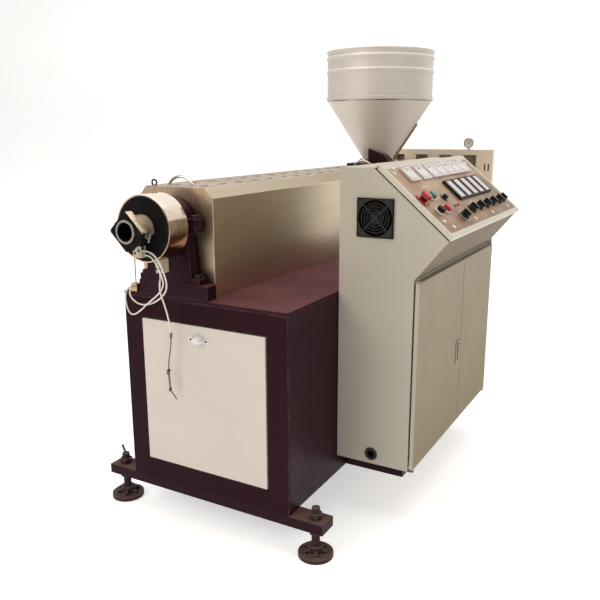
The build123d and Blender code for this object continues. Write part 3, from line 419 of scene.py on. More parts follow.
cup_nickel = satin_sheet("cup_nickel", (0.74, 0.7, 0.68), (0.66, 0.62, 0.6), (0.9, 0.85, 0.75))
dressed("access_panel_pull", 0.0007, cup_nickel, "chrome_handle")
cup_low, cup_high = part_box("access_panel_pull")
cup_screw_inset = 0.0075
cup_screw_drop = 0.018
cup_sheet = 0.0015
frontward = (0.0, -1.0, 0.0)
cup_screws = [(x, cup_high.y - cup_sheet, cup_high.z - cup_screw_drop)
              for x in (cup_low.x + cup_screw_inset, cup_high.x - cup_screw_inset)]
grown("cup_screws", screw, cup_screws, frontward, foot_iron, "foot_zinc", radius=0.0036)


# Barrel stand: a maroon casting bolted to its pedestal, with a split clamp round the barrel.
# Four bolts close the clamp and four hold the foot.

def standing_disc(tree, sides, radius, low, height):
    """A closed disc or prism that stands on the height low."""
    disc = add(tree, "GeometryNodeMeshCylinder", vertices=sides, radius=radius, depth=height)
    return lifted(tree, disc.outputs["Mesh"], sums(tree, "ADD", low, sums(tree, "MULTIPLY", height, 0.5)))


bolt, given = sized_tree("hex_bolt", head=0.009, height=0.007, washer=0.012, plate=0.002)
washer = standing_disc(bolt, 20, given["washer"], 0.0, given["plate"])
crown = standing_disc(bolt, 6, given["head"], given["plate"], given["height"])
joined = add(bolt, "GeometryNodeJoinGeometry")
for shape in (crown, washer):
    feed(bolt, joined.inputs["Geometry"], shape)
repeated(bolt, given, joined.outputs["Geometry"], twist=1.0)

for node in ("barrel_pedestal", "barrel_stand", "barrel_clamp_cap"):
    dressed(node, plate_edge, maroon_paint, "purple_paint")
cap_low, cap_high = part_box("barrel_clamp_cap")
clamp_lug = 0.02
foot_height = 0.018
lug_inset = 0.013
foot_reach = 0.115
row_inset = 0.01
barrel_x = (cap_low.x + cap_high.x) / 2
clamp_rows = (cap_low.y + row_inset, cap_high.y - row_inset)
split_z = cap_low.z + clamp_lug
foot_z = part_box("barrel_pedestal")[1].z + foot_height
clamp_bolts = [(x, y, split_z) for x in (cap_low.x + lug_inset, cap_high.x - lug_inset) for y in clamp_rows]
foot_bolts = [(barrel_x + side * (foot_reach - lug_inset), y, foot_z)
              for side in (-1, 1) for y in clamp_rows]
for name, places in (("clamp_bolts", clamp_bolts), ("stand_bolts", foot_bolts)):
    grown(name, bolt, places, upward, foot_iron, "foot_zinc", head=0.0085, height=0.009, washer=0.011)


# Barrel and die end: a nitrided steel barrel, a black flange in a polished heater band, and a
# diamond-shaped adaptor plate with a turned lip round its outlet.

def metal(name, colour, streak, gloss, stretch, scale, worn=None, depth=0.00006, patch=0.1, dust=0.0):
    """Bare metal with fine lines along the directions where the stretch is small, dulled where dust lies."""
    made, tree = new_material(name)
    lines = noise(tree, scale, 5.0, stretch)
    film = placed(tree, settled_dust, Amount=dust)["Mask"]
    tone = mixed(tree, spread(tree, lines), streak, colour)
    tone = mixed(tree, film, tone, (0.25, 0.19, 0.155))
    if worn:
        tone = mixed(tree, placed(tree, edge_wear, Bare=0.65)["Mask"], tone, worn)
    smudge = spread(tree, noise(tree, 6.0, 5.0), -patch / 2, patch / 2)
    grooves = spread(tree, lines, gloss + patch / 2, gloss - patch / 2)
    dulled = sums(tree, "ADD", grooves, sums(tree, "MULTIPLY", film, 0.45))
    return surfaced(made, tone, sums(tree, "ADD", smudge, dulled), lines, 0.25, depth,
                    metallic=sums(tree, "SUBTRACT", 1.0, film))


barrel_steel = metal("barrel_steel", (0.3, 0.28, 0.26), (0.2, 0.18, 0.17), 0.4, (1.0, 0.04, 1.0), 120.0)
dressed("barrel", 0.001, barrel_steel, "machined_steel")

flange_black = paint("flange_black", (0.009, 0.009, 0.008), (0.005, 0.005, 0.005), (0.09, 0.075, 0.065),
                     0.45, dust=0.3, dust_colour=(0.05, 0.04, 0.035), shine=0.06)
dressed("die_flange", 0.002, flange_black, "black_iron")


def lit_by_facing(name, high, low, bare=1.0, gloss=0.1):
    """Polished steel with fine lines round it, painted bright where it faces up and darker towards its
    underside: a painted reflection and shade.
    """
    made, tree = new_material(name)
    shade_breakup = spread(tree, noise(tree, 22.0, 6.0, (1.0, 0.5, 1.0)), -0.3, 0.3)
    facing_light = sums(tree, "ADD", axes(tree, "Normal")["Z"], shade_breakup)
    lines = noise(tree, 150.0, 5.0, (0.05, 1.0, 0.05))
    tone = mixed(tree, between(tree, facing_light, -0.35, 0.75), low, high)
    tone = mixed(tree, between(tree, lines, 0.35, 0.75, 0.0, 0.3), tone, (0.9, 0.8, 0.68))
    return surfaced(made, tone, spread(tree, lines, gloss, gloss + 0.1), lines, 0.2, 0.00003, metallic=bare)


# The band is painted bright on top and brown to dark below: a painted reflection and shade.
band_polish = lit_by_facing("band_polish", (0.93, 0.83, 0.7), (0.34, 0.2, 0.1))
dressed("heater_band", 0.0012, band_polish, "band_steel")
even = (1.0, 1.0, 1.0)
zinc = metal("zinc", (0.55, 0.53, 0.5), (0.38, 0.36, 0.34), 0.34, even, 90.0)
band_low, band_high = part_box("heater_band")
lug_middle = 0.011
lug_rise = 0.011
lug_top = (band_low.z + band_high.z) / 2 + lug_rise
lug_margin = 0.022
band_bolts = [(band_low.x + lug_middle, y, lug_top)
              for y in (band_low.y + lug_margin, band_high.y - lug_margin)]
grown("band_bolts", bolt, band_bolts, upward, zinc, "foot_zinc", head=0.006, height=0.006, washer=0.008)

adaptor_steel = metal("adaptor_steel", (0.72, 0.58, 0.42), (0.5, 0.4, 0.28), 0.3, (1.0, 0.06, 1.0), 140.0,
                      worn=(0.95, 0.84, 0.66))
adaptor = dressed("die_adaptor", 0.0012, adaptor_steel, "machined_steel").data
adaptor_low, adaptor_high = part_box("die_adaptor")
adaptor_x = (adaptor_low.x + adaptor_high.x) / 2
adaptor_z = (adaptor_low.z + adaptor_high.z) / 2
lip_length = 0.004
plate_thickness = 0.025
plate_front = adaptor_low.y + lip_length
plate_back = plate_front + plate_thickness
neck_radius = 0.042
outlet_radius = 0.0272
# The neck is painted golden on top and near-black underneath: a painted highlight and shade.
neck_lit_shaded = lit_by_facing("neck_lit_shaded", (0.72, 0.51, 0.31), (0.02, 0.016, 0.013), bare=0.35, gloss=0.28)
lip_steel = metal("lip_steel", (0.4, 0.33, 0.31), (0.22, 0.18, 0.17), 0.35, (1.0, 0.1, 1.0), 110.0)
for finish in (flange_black, neck_lit_shaded, lip_steel):
    adaptor.materials.append(finish)
# Faces that look down get the black finish as a painted shade; the outlet's bore gets it too.
for face in adaptor.polygons:
    corners = [adaptor.vertices[index].co for index in face.vertices]
    out = sum(math.hypot(corner.x - adaptor_x, corner.z - adaptor_z) for corner in corners) / len(corners)
    if out < outlet_radius or face.normal.z < -0.3:
        face.material_index = 1
    elif face.center.y > plate_back - 0.001:
        face.material_index = 2
    elif face.center.y < plate_front - 0.0008:
        face.material_index = 3
    elif face.normal.y < -0.9:
        face.material_index = 1
socket_angle = math.radians(20.0)
socket_way = Vector((math.cos(socket_angle), 0.0, -math.sin(socket_angle)))
socket_back = 0.03
socket_sunk = 0.002
key_out = 0.013
neck_middle = Vector((adaptor_x, adaptor_high.y - socket_back, adaptor_z))
socket_place = neck_middle + socket_way * (neck_radius - socket_sunk)
grown("sensor_socket", bolt, [socket_place], socket_way, zinc, "foot_zinc", head=0.006, height=0.012,
      washer=0.008)
key_middle = socket_place + socket_way * key_out
key_place = Matrix.Translation(key_middle) @ Matrix.Rotation(socket_angle, 4, "Y")
key = ((-0.002, -0.002, -0.015), (0.002, 0.002, 0.015))
blocks("socket_key", [key], 0.0008, zinc, "foot_zinc", place=key_place)


# Hood: brushed stainless sheet folded over the heaters, closed by two end plates. The folded edges
# are bright, and two chromed bows and a lifting eye are screwed to the top.

bright_fold = (0.95, 0.88, 0.8)
hood_brushed = metal("hood_brushed", (0.65, 0.55, 0.41), (0.57, 0.48, 0.35), 0.32, (1.0, 0.005, 1.0), 260.0,
                     worn=bright_fold, depth=0.00002, patch=0.05, dust=0.9)
dressed("hood_cover", 0.0007, hood_brushed, "hood_steel")
end_brushed = metal("end_brushed", (0.58, 0.43, 0.31), (0.4, 0.29, 0.21), 0.37, (1.0, 1.0, 0.03), 160.0,
                    worn=bright_fold, patch=0.12)
dressed("hood_end_plates", 0.0007, end_brushed, "hood_steel")


def repainted(piece, finish, test):
    """Gives the faces of the piece that pass the test a second finish."""
    piece.data.materials.append(finish)
    for face in piece.data.polygons:
        if test(face):
            face.material_index = 1


bow_chrome = metal("bow_chrome", (0.7, 0.64, 0.55), (0.55, 0.5, 0.42), 0.12, even, 80.0, patch=0.05)
bows = dressed("hood_handles", 0.0003, bow_chrome, "chrome_handle", sharp=60.0)
eye_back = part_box("hood_handles")[0].y + 0.01
repainted(bows, flange_black, lambda face: face.center.y < eye_back)
hood_low, hood_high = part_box("hood_cover")
bow_half = 0.0458
bow_foot = 0.0075
hood_x = (hood_low.x + hood_high.x) / 2
bow_middles = ((hood_x - 0.025, hood_low.y + 0.058), (hood_x, hood_high.y - 0.02))
bow_feet = [(x + side * bow_half, y, hood_high.z) for side in (-1, 1) for x, y in bow_middles]
collar, given = sized_tree("collar", radius=bow_foot, height=0.002)
repeated(collar, given, standing_disc(collar, 24, given["radius"], 0.0, given["height"]))
grown("bow_collars", collar, bow_feet, upward, bow_chrome, "chrome_handle")


# Feed throat and hopper: a maroon casting carries a spun sheet hopper with two rolled beads, a sight
# strip down its cone and a drain flap at its foot.

for node in ("feed_throat", "drain_chute"):
    dressed(node, plate_edge, maroon_paint, "purple_paint")
cone_low, cone_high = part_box("hopper_cone")
hopper_x = (cone_low.x + cone_high.x) / 2
hopper_y = (cone_low.y + cone_high.y) / 2
rolled_edge = (0.9, 0.85, 0.78)
hopper_satin = satin_sheet("hopper_satin", (0.66, 0.6, 0.55), (0.6, 0.54, 0.49), rolled_edge)
# The cone's top band, under the wall, is darkened in blotches: a painted shade.
cone_satin = satin_sheet("cone_satin", (0.67, 0.59, 0.515), (0.57, 0.495, 0.435), (0.8, 0.72, 0.62),
                         seam=cone_high.z)
shell = dressed("hopper_wall", 0.0006, hopper_satin, "hopper_steel", sharp=50.0)
dressed("hopper_cone", 0.001, cone_satin, "hopper_steel", sharp=50.0)
strip_brass = metal("strip_brass", (0.5, 0.37, 0.22), (0.3, 0.21, 0.12), 0.4, (1.0, 1.0, 0.1), 120.0,
                    worn=(0.85, 0.68, 0.45))
dressed("hopper_sight_strip", 0.001, strip_brass, "hopper_steel")
# The tops of the rolled beads get a near-white copy of the hopper's steel: a painted highlight.
bead_highlight = satin_sheet("bead_highlight", (0.88, 0.83, 0.77), (0.82, 0.77, 0.71), rolled_edge)
bead_reach = 0.2503
repainted(shell, bead_highlight, lambda face: face.normal.z > 0.1 and math.hypot(
    face.center.x - hopper_x, face.center.y - hopper_y) > bead_reach)
flange_bolt_ring = 0.083
flange_bolt_count = 8
flange_thickness = 0.011
flange_top = cone_low.z + flange_thickness
flange_angles = [2 * math.pi * (step + 0.5) / flange_bolt_count for step in range(flange_bolt_count)]
flange_bolts = [(hopper_x + flange_bolt_ring * math.cos(angle),
                 hopper_y + flange_bolt_ring * math.sin(angle), flange_top) for angle in flange_angles]
grown("cone_bolts", bolt, flange_bolts, upward, zinc, "foot_zinc", head=0.0065, height=0.006, washer=0.008)


# Gearbox: a two-part maroon iron casting whose halves meet in a bolted flange at the screw's height.
# A flat cover on its top is held by six bolts.

dressed("gearbox_housing", 0.003, maroon_paint, "purple_paint")
dressed("gearbox_cover", 0.002, maroon_paint, "purple_paint")
cover_low, cover_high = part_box("gearbox_cover")
cover_inset = 0.016
cover_rows = (cover_low.y + cover_inset, (cover_low.y + cover_high.y) / 2, cover_high.y - cover_inset)
cover_bolts = [(x, y, cover_high.z) for x in (cover_low.x + cover_inset, cover_high.x - cover_inset)
               for y in cover_rows]
grown("cover_bolts", bolt, cover_bolts, upward, zinc, "foot_zinc", head=0.008, washer=0.0105)
case_low, case_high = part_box("gearbox_housing")
case_flange = 0.014
case_flange_rise = 0.016
case_flange_top = adaptor_z + case_flange_rise
case_bolt_pitch = 0.062
case_bolt_first = 0.04
case_rows = int((case_high.y - case_low.y - 2 * case_bolt_first) / case_bolt_pitch) + 1
case_bolts = [(x, case_low.y + case_bolt_first + step * case_bolt_pitch, case_flange_top)
              for x in (case_low.x + case_flange / 2, case_high.x - case_flange / 2)
              for step in range(case_rows)]
grown("case_bolts", bolt, case_bolts, upward, zinc, "foot_zinc", head=0.0055, height=0.006, washer=0.0065)


# Belt guard: a cream sheet box across the drive end with windows and two narrow vents, and a small
# pressure gauge on a stem above it.

guard_paint = paint("guard_paint", (0.86, 0.74, 0.57), (0.80, 0.67, 0.51), (0.9, 0.8, 0.66), 0.4,
                    dust=0.35, dust_colour=(0.62, 0.55, 0.45))
dressed("belt_guard", 0.002, guard_paint, "cream_paint")
guard_low, guard_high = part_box("belt_guard")
seam_share = 0.879
seam_x = guard_low.x + seam_share * (guard_high.x - guard_low.x)
seam_half = 0.006
seam_margin = 0.004
seam = ((seam_x - seam_half, guard_low.y - 0.0012, guard_low.z + seam_margin),
        (seam_x + seam_half, guard_low.y + 0.0005, guard_high.z - seam_margin))
blocks("guard_seam", [seam], 0.0004, guard_paint, "cream_paint")
gauge_rim = metal("gauge_rim", (0.72, 0.66, 0.58), (0.6, 0.54, 0.46), 0.22, even, 90.0)
dressed("pressure_gauge", 0.0012, gauge_rim, "machined_steel")
gauge_low, gauge_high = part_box("pressure_gauge")
gauge_radius = (gauge_high.x - gauge_low.x) / 2
dial_depth = 0.003
gauge_middle = Vector(((gauge_low.x + gauge_high.x) / 2, gauge_low.y + dial_depth,
                       gauge_high.z - gauge_radius))

ticks, given = sized_tree("dial_ticks", radius=0.018, start=-0.7, sweep=4.5, count=21, length=0.004,
                          width=0.0008, height=0.0003)
arc = add(ticks, "GeometryNodeCurveArc", mode="RADIUS", resolution=given["count"], radius=given["radius"],
          start_angle=given["start"], sweep_angle=given["sweep"])
tick_places = add(ticks, "GeometryNodeCurveToPoints", mode="EVALUATED", curve=arc.outputs["Curve"])
from_middle = add(ticks, "GeometryNodeInputPosition").outputs["Position"]
spoke = add(ticks, "FunctionNodeAlignRotationToVector", axis="X", vector=from_middle)
bar_size = add(ticks, "ShaderNodeCombineXYZ", x=given["length"], y=given["width"], z=given["height"])
bar = add(ticks, "GeometryNodeMeshCube", size=bar_size.outputs["Vector"])
tick_ring = add(ticks, "GeometryNodeInstanceOnPoints", points=tick_places.outputs["Points"],
                instance=bar.outputs["Mesh"], rotation=spoke.outputs["Rotation"])
repeated(ticks, given, tick_ring.outputs["Instances"])


def plastic(name, colour, shade, gloss, scale=900.0, strength=0.08, shine=0.4):
    """Moulded plastic with a fine grain and faint clouding."""
    made, tree = new_material(name)
    tone = mixed(tree, spread(tree, noise(tree, 25.0, 5.0)), shade, colour)
    grain = noise(tree, scale, 2.0)
    return surfaced(made, tone, spread(tree, grain, gloss, gloss + 0.1), grain, strength, 0.0002,
                    shine=shine)


dial_white = plastic("dial_white", (0.8, 0.77, 0.72), (0.74, 0.7, 0.65), 0.4)
print_black = plastic("print_black", (0.025, 0.023, 0.022), (0.018, 0.017, 0.016), 0.5)
needle_red = plastic("needle_red", (0.45, 0.03, 0.02), (0.38, 0.02, 0.02), 0.4)
tick_middle = gauge_middle + Vector((0.0, -0.0006, 0.0))
grown("gauge_dial", collar, [gauge_middle], frontward, dial_white, "meter_plastic", radius=0.0225,
      height=0.0005)
grown("gauge_ticks", ticks, [tick_middle], frontward, print_black, "black_plastic")
grown("gauge_hub", collar, [gauge_middle], frontward, print_black, "black_plastic", radius=0.003,
      height=0.002)
needle_tilt = Matrix.Translation(gauge_middle) @ Matrix.Rotation(math.radians(40.0), 4, "Y")
gauge_needle = ((-0.0005, -0.0016, -0.004), (0.0005, -0.001, 0.016))
blocks("gauge_needle", [gauge_needle], 0.0002, needle_red, "red_plastic", place=needle_tilt)


# Control cabinet: cream sprayed sheet with turned edges, carried beside the base on three maroon arms.
# The sheet under the desk slopes in to the doors, and is painted darker than the walls: a painted shade.

dressed("cabinet_carrier", 0.002, maroon_paint, "purple_paint")
cream_paint = paint("cream_paint", (0.49, 0.445, 0.36), (0.445, 0.40, 0.32), (0.66, 0.61, 0.52), 0.36,
                    dust=0.25, dust_colour=(0.6, 0.54, 0.45))
for node in ("cabinet_front_wall", "cabinet_rear_wall", "cabinet_back_wall", "cabinet_floor",
             "cabinet_top_plate"):
    dressed(node, 0.0014, cream_paint, "cream_paint")
# The underside's darker, duller cream is a painted shade; its turned strip keeps the wall's cream.
underside_shaded_cream = paint("underside_shaded_cream", (0.238, 0.19, 0.14), (0.204, 0.162, 0.118), (0.5, 0.44, 0.35), 0.5,
                     shine=0.04)
underside = dressed("desk_underside", 0.0014, underside_shaded_cream, "cream_paint")
repainted(underside, cream_paint, lambda face: face.normal.x > 0.9)


# Doors: two shallow cream trays on pivot pins, the front one with a flush pull plate let in beside
# the seam.

# The doors' faces get a darker, yellower copy of the cabinet's cream, darker still towards the bottom: a
# painted shade. Their edges keep the wall's cream.
door_shaded_paint = paint("door_shaded_paint", (0.418, 0.351, 0.263), (0.373, 0.312, 0.232), (0.6, 0.53, 0.41), 0.45,
                   shine=0.04, soil_and_shade=(0.268, 0.217, 0.138), shade_heights=(0.16, 0.78))
for node in ("cabinet_door_front", "cabinet_door_rear"):
    door = dressed(node, 0.002, door_shaded_paint, "cream_paint")
    repainted(door, cream_paint, lambda face: abs(face.normal.x) < 0.5)
dressed("door_hinges", 0.0006, door_shaded_paint, "foot_zinc")
pull_lines = (1.0, 1.0, 0.2)
pull_tan = metal("pull_tan", (0.42, 0.34, 0.25), (0.3, 0.24, 0.17), 0.45, pull_lines, 60.0,
                 worn=(0.8, 0.72, 0.6))
pull = dressed("door_pull", 0.0008, pull_tan, "black_plastic")
pull_low, pull_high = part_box("door_pull")
pull_floor = pull_low.x + 0.0015
recess_black = plastic("recess_black", (0.03, 0.028, 0.026), (0.02, 0.019, 0.018), 0.5)
repainted(pull, recess_black, lambda face: face.normal.x > 0.9 and abs(face.center.x - pull_floor) < 0.0006)
pull_y = (pull_low.y + pull_high.y) / 2
pull_z = (pull_low.z + pull_high.z) / 2
grip_brown = metal("grip_brown", (0.2, 0.155, 0.11), (0.12, 0.095, 0.07), 0.45, pull_lines, 60.0)
grip_half_width = 0.0038
grip_half_height = 0.028
grip = ((pull_floor, pull_y - grip_half_width, pull_z - grip_half_height),
        (pull_high.x + 0.001, pull_y + grip_half_width, pull_z + grip_half_height))
blocks("pull_grip", [grip], 0.002, grip_brown, "chrome_handle", body="front_door")


# Fan: a square moulded guard with a raised rim and rings over a bladed rotor, held by four corner
# screws, and a rubber grommet low in the same wall where the supply cable goes in. The rim is painted
# near-black, darker than the guard's own plastic: a painted shade along the guard's border.

fan_plastic = plastic("fan_plastic", (0.016, 0.015, 0.014), (0.010, 0.010, 0.010), 0.3, shine=0.32)
for node, edge in (("fan_guard", 0.0004), ("fan_housing", 0.0006), ("fan_rotor", 0.0004)):
    dressed(node, edge, fan_plastic, "black_plastic", sharp=50.0)
fan_low, fan_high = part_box("fan_guard")
fan_screw_inset = 0.007
fan_screws = [(x, fan_low.y, z) for x in (fan_low.x + fan_screw_inset, fan_high.x - fan_screw_inset)
              for z in (fan_low.z + fan_screw_inset, fan_high.z - fan_screw_inset)]
grown("fan_screws", screw, fan_screws, frontward, fan_plastic, "black_plastic", radius=0.0035)
# Near-black and matte, darker than the guard: a painted shade along its border.
rim_shade_black = plastic("rim_shade_black", (0.005, 0.005, 0.005), (0.003, 0.003, 0.003), 0.5, shine=0.1)
rim_width = 0.0032
rim_front, rim_back = fan_low.y - 0.0012, fan_low.y + 0.001
rim_bars = [((fan_low.x, rim_front, z), (fan_high.x, rim_back, z + rim_width))
            for z in (fan_low.z, fan_high.z - rim_width)]
rim_bars += [((x, rim_front, fan_low.z + rim_width), (x + rim_width, rim_back, fan_high.z - rim_width))
             for x in (fan_low.x, fan_high.x - rim_width)]
blocks("fan_rim", rim_bars, 0.0003, rim_shade_black, "black_plastic")
rubber = plastic("rubber", (0.016, 0.015, 0.015), (0.01, 0.01, 0.01), 0.6, scale=500.0, strength=0.2)
dressed("cable_gland", 0.0008, rubber, "seal_rubber", sharp=50.0)


# Desk lid: a cream pressed frame on a rubber seal, hinged along its top edge. A bronze-coloured
# anodised plate is let into it and held by round-headed screws.

lid_paint = paint("lid_paint", (0.60, 0.54, 0.45), (0.55, 0.49, 0.40), (0.75, 0.70, 0.6), 0.32,
                  dust=0.2, dust_colour=(0.66, 0.6, 0.5))
dressed("lid_frame", 0.004, lid_paint, "cream_paint")
seal_grey = plastic("seal_grey", (0.12, 0.104, 0.086), (0.09, 0.078, 0.064), 0.6, scale=500.0, shine=0.1)
dressed("lid_gasket", 0.0008, seal_grey, "seal_rubber")
dressed("lid_hinge", 0.0006, lid_paint, "foot_zinc", sharp=50.0)
bronze, tree = new_material("bronze")
lines = noise(tree, 220.0, 4.0, (1.0, 0.02, 1.0))
place = axes(tree, "Object")
# The plate is painted darker and redder down the slope and towards the rear, a painted reflection, over a
# random cloud in its tone.
down_slope_reflection = between(tree, place["X"], 0.38, 0.52, -0.2, 0.35)
rear_reflection = between(tree, place["Y"], -0.6, 0.0, -0.15, 0.25)
cloud = spread(tree, noise(tree, 9.0, 6.0))
soil_and_shade = sums(tree, "ADD", cloud, sums(tree, "ADD", down_slope_reflection, rear_reflection))
tone = mixed(tree, between(tree, soil_and_shade, 0.0, 1.2), (0.47, 0.315, 0.185), (0.2, 0.1, 0.048))
tone = mixed(tree, between(tree, lines, 0.4, 0.8, 0.0, 0.4), tone, (0.46, 0.33, 0.2))
surfaced(bronze, tone, spread(tree, lines, 0.36, 0.5), lines, 0.15, 0.0001, metallic=0.55)
dressed("control_plate", 0.0005, bronze, "bronze_plate")
wall_low, wall_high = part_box("cabinet_front_wall")
top_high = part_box("cabinet_top_plate")[1]
desk_drop = 0.203
desk_run = wall_high.x - top_high.x
slope = math.atan2(desk_drop, desk_run)
slope_length = math.hypot(desk_drop, desk_run)
desk_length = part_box("cabinet_rear_wall")[1].y - wall_low.y
desk = Matrix(((math.cos(slope), 0.0, math.sin(slope), top_high.x), (0.0, 1.0, 0.0, wall_low.y),
               (-math.sin(slope), 0.0, math.cos(slope), top_high.z), (0.0, 0.0, 0.0, 1.0)))
outward = desk.to_3x3() @ Vector((0.0, 0.0, 1.0))
plate_top = 0.017


def desk_spot(down_share, along_share, rise=0.0):
    """A point over the control plate, by shares of the slope and of the desk's length."""
    return desk @ Vector((down_share * slope_length, along_share * desk_length, plate_top + rise))


plate_screw_shares = ((0.098, 0.082), (0.098, 0.352), (0.098, 0.623), (0.098, 0.874), (0.16, 0.918),
                      (0.9, 0.888), (0.907, 0.626), (0.904, 0.374), (0.907, 0.096), (0.817, 0.062),
                      (0.154, 0.052))
screw_white = plastic("screw_white", (0.82, 0.78, 0.72), (0.74, 0.7, 0.64), 0.25)
grown("plate_screws", screw, [desk_spot(*shares) for shares in plate_screw_shares], outward, screw_white,
      "meter_plastic", body="desk_lid", radius=0.0075, height=0.005, groove=0.0014)


# Meters: seven pale moulded cases with white faces, printed scales and red needles. A strip of the
# same plastic as the case covers the foot of each face.

def desk_box(down, along_share, half_down, half_along, low, height):
    """Corners of a box on the desk, by metres down the slope and a share of the desk's length."""
    along = along_share * desk_length
    return (down - half_down, along - half_along, low), (down + half_down, along + half_along, low + height)


meter_case = plastic("meter_case", (0.7, 0.645, 0.64), (0.62, 0.565, 0.56), 0.22)
dressed("panel_meters", 0.0015, meter_case, "meter_plastic")
meter_alongs = (0.173, 0.301, 0.418, 0.52, 0.622, 0.724, 0.826)
meter_border = 0.009
meter_half_width = 0.095 * desk_length / 2 - meter_border
meter_half_height = 0.186 * slope_length / 2 - meter_border
meter_down = 0.2 * slope_length
meter_foot = meter_down + meter_half_height
meter_floor = plate_top + 0.005
strip_half = 0.0065
faces = [desk_box(meter_down, share, meter_half_height, meter_half_width, meter_floor, 0.0005)
         for share in meter_alongs]
strips = [desk_box(meter_foot - strip_half, share, strip_half, meter_half_width, meter_floor, 0.002)
          for share in meter_alongs]
blocks("meter_faces", faces, 0.0001, dial_white, "meter_plastic", body="desk_lid", place=desk)
blocks("meter_strips", strips, 0.0005, meter_case, "meter_plastic", body="desk_lid", place=desk)
pivot_down = meter_foot - 2 * strip_half - 0.002
scale_radius = 0.024
face_rise = meter_floor + 0.0007 - plate_top
pivots = [desk_spot(pivot_down / slope_length, share, face_rise) for share in meter_alongs]
print_grey = plastic("print_grey", (0.42, 0.37, 0.37), (0.34, 0.3, 0.3), 0.5)
grown("meter_scales", ticks, pivots, outward, print_grey, "black_plastic", body="desk_lid",
      radius=scale_radius, start=math.radians(132.0), sweep=math.radians(96.0), count=15, length=0.0045,
      width=0.0007)
needle_angles = (-30.0, 12.0, -38.0, -20.0, 5.0, -34.0, -26.0)
meter_needle = ((0.0, -0.0004, 0.0), (scale_radius, 0.0004, 0.0005))
for number, (share, angle) in enumerate(zip(meter_alongs, needle_angles)):
    spot = Vector((pivot_down, share * desk_length, meter_floor + 0.0012))
    lean = desk @ Matrix.Translation(spot) @ Matrix.Rotation(math.radians(180.0 + angle), 4, "Z")
    blocks(f"meter_needle_{number}", [meter_needle], 0.0001, needle_red, "red_plastic", body="desk_lid",
           place=lean)


# Temperature controls: five black moulded cases side by side, each with a long pale face plate
# snapped into its frame.

control_black = plastic("control_black", (0.012, 0.011, 0.011), (0.007, 0.007, 0.007), 0.4, shine=0.15)
dressed("temperature_controls", 0.0012, control_black, "black_plastic")
control_pale = plastic("control_pale", (0.66, 0.60, 0.57), (0.58, 0.52, 0.50), 0.35)
control_alongs = [0.452 + 0.0925 * step for step in range(5)]
control_half_width = 0.088 * desk_length / 2 - 0.016
control_half_height = 0.276 * slope_length / 2 - 0.006
control_down = 0.503 * slope_length
control_floor = plate_top + 0.006
pale_faces = [desk_box(control_down, share, control_half_height, control_half_width, control_floor, 0.003)
              for share in control_alongs]
blocks("control_faces", pale_faces, 0.0008, control_pale, "meter_plastic", body="desk_lid", place=desk)


# Knobs and buttons: black moulded grips with white pointers, a red mushroom stop, one green, one
# black and one red push button, two small lamps, white printed lines and a grey label plate.

knob_black = plastic("knob_black", (0.012, 0.011, 0.011), (0.007, 0.007, 0.007), 0.14)
dressed("selector_knobs", 0.0012, knob_black, "black_plastic", sharp=50.0)
knob_shares = ((0.83, 0.29), (0.785, 0.435), (0.785, 0.535), (0.785, 0.637), (0.785, 0.735),
               (0.785, 0.838), (0.785, 0.91))
knob_top = plate_top + 0.022
pointer_out = 0.0075
pointer_half = 0.0055
pointers = [desk_box(down * slope_length - pointer_out, along, pointer_half, 0.001, knob_top - 0.0005, 0.001)
            for down, along in knob_shares]
blocks("knob_pointers", pointers, 0.0002, screw_white, "meter_plastic", body="desk_lid", place=desk)
label_grey = plastic("label_grey", (0.42, 0.38, 0.36), (0.36, 0.32, 0.3), 0.4)
label_half = 0.022
first_down, first_along = knob_shares[0]
label = desk_box(first_down * slope_length, first_along, label_half, label_half, plate_top, 0.0012)
blocks("knob_label", [label], 0.0003, label_grey, "meter_plastic", body="desk_lid", place=desk)

stop_red = plastic("stop_red", (0.46, 0.014, 0.018), (0.36, 0.01, 0.012), 0.22)
dressed("stop_button", 0.003, stop_red, "red_plastic", sharp=50.0)
grown("stop_stem", collar, [desk_spot(0.526, 0.06, 0.003)], outward, control_black, "black_plastic",
      body="desk_lid", radius=0.0116, height=0.0108)
button_green = plastic("button_green", (0.02, 0.22, 0.11), (0.014, 0.17, 0.08), 0.22)
buttons = dressed("push_buttons", 0.0015, button_green, "button_plastic", sharp=50.0).data
for finish in (control_black, stop_red, screw_white):
    buttons.materials.append(finish)
button_shares = ((0.515, 0.155), (0.7, 0.1), (0.7, 0.172))
collar_top = plate_top + 0.0055
collar_inside = 0.01215
to_desk = desk.inverted()
for face in buttons.polygons:
    local = to_desk @ face.center
    gaps = [math.hypot(local.x - down * slope_length, local.y - along * desk_length)
            for down, along in button_shares]
    on_collar = local.z < collar_top and min(gaps) > collar_inside
    face.material_index = 3 if on_collar else gaps.index(min(gaps))
lamp, given = sized_tree("lamp", radius=0.004, height=0.003)
repeated(lamp, given, dome(lamp, given))
signal_red = plastic("signal_red", (0.62, 0.03, 0.03), (0.5, 0.02, 0.02), 0.2)
for name, along, finish, slot in (("lamp_green", 0.302, button_green, "button_plastic"),
                                  ("lamp_red", 0.338, signal_red, "red_plastic")):
    grown(name, lamp, [desk_spot(0.686, along)], outward, finish, slot, body="desk_lid", radius=0.006,
          height=0.005)
print_white = plastic("print_white", (0.74, 0.7, 0.62), (0.66, 0.62, 0.54), 0.5)
line_width = 0.003
line_top = plate_top + 0.0004
corner_down = 0.37 * slope_length
corner_along = 0.235 * desk_length
line_start = 0.165 * desk_length
line_end = 0.72 * slope_length
printed = [((corner_down, line_start, plate_top), (corner_down + line_width, corner_along, line_top)),
           ((corner_down, corner_along - line_width, plate_top), (line_end, corner_along, line_top))]
blocks("printed_lines", printed, 0.0001, print_white, "meter_plastic", body="desk_lid", place=desk)


# Heater leads: ceramic plugs on the flange and under the band, white sleeved leads that loop down to
# a brass terminal on the corner of the base, a hanging sensor probe and a taut earth wire.

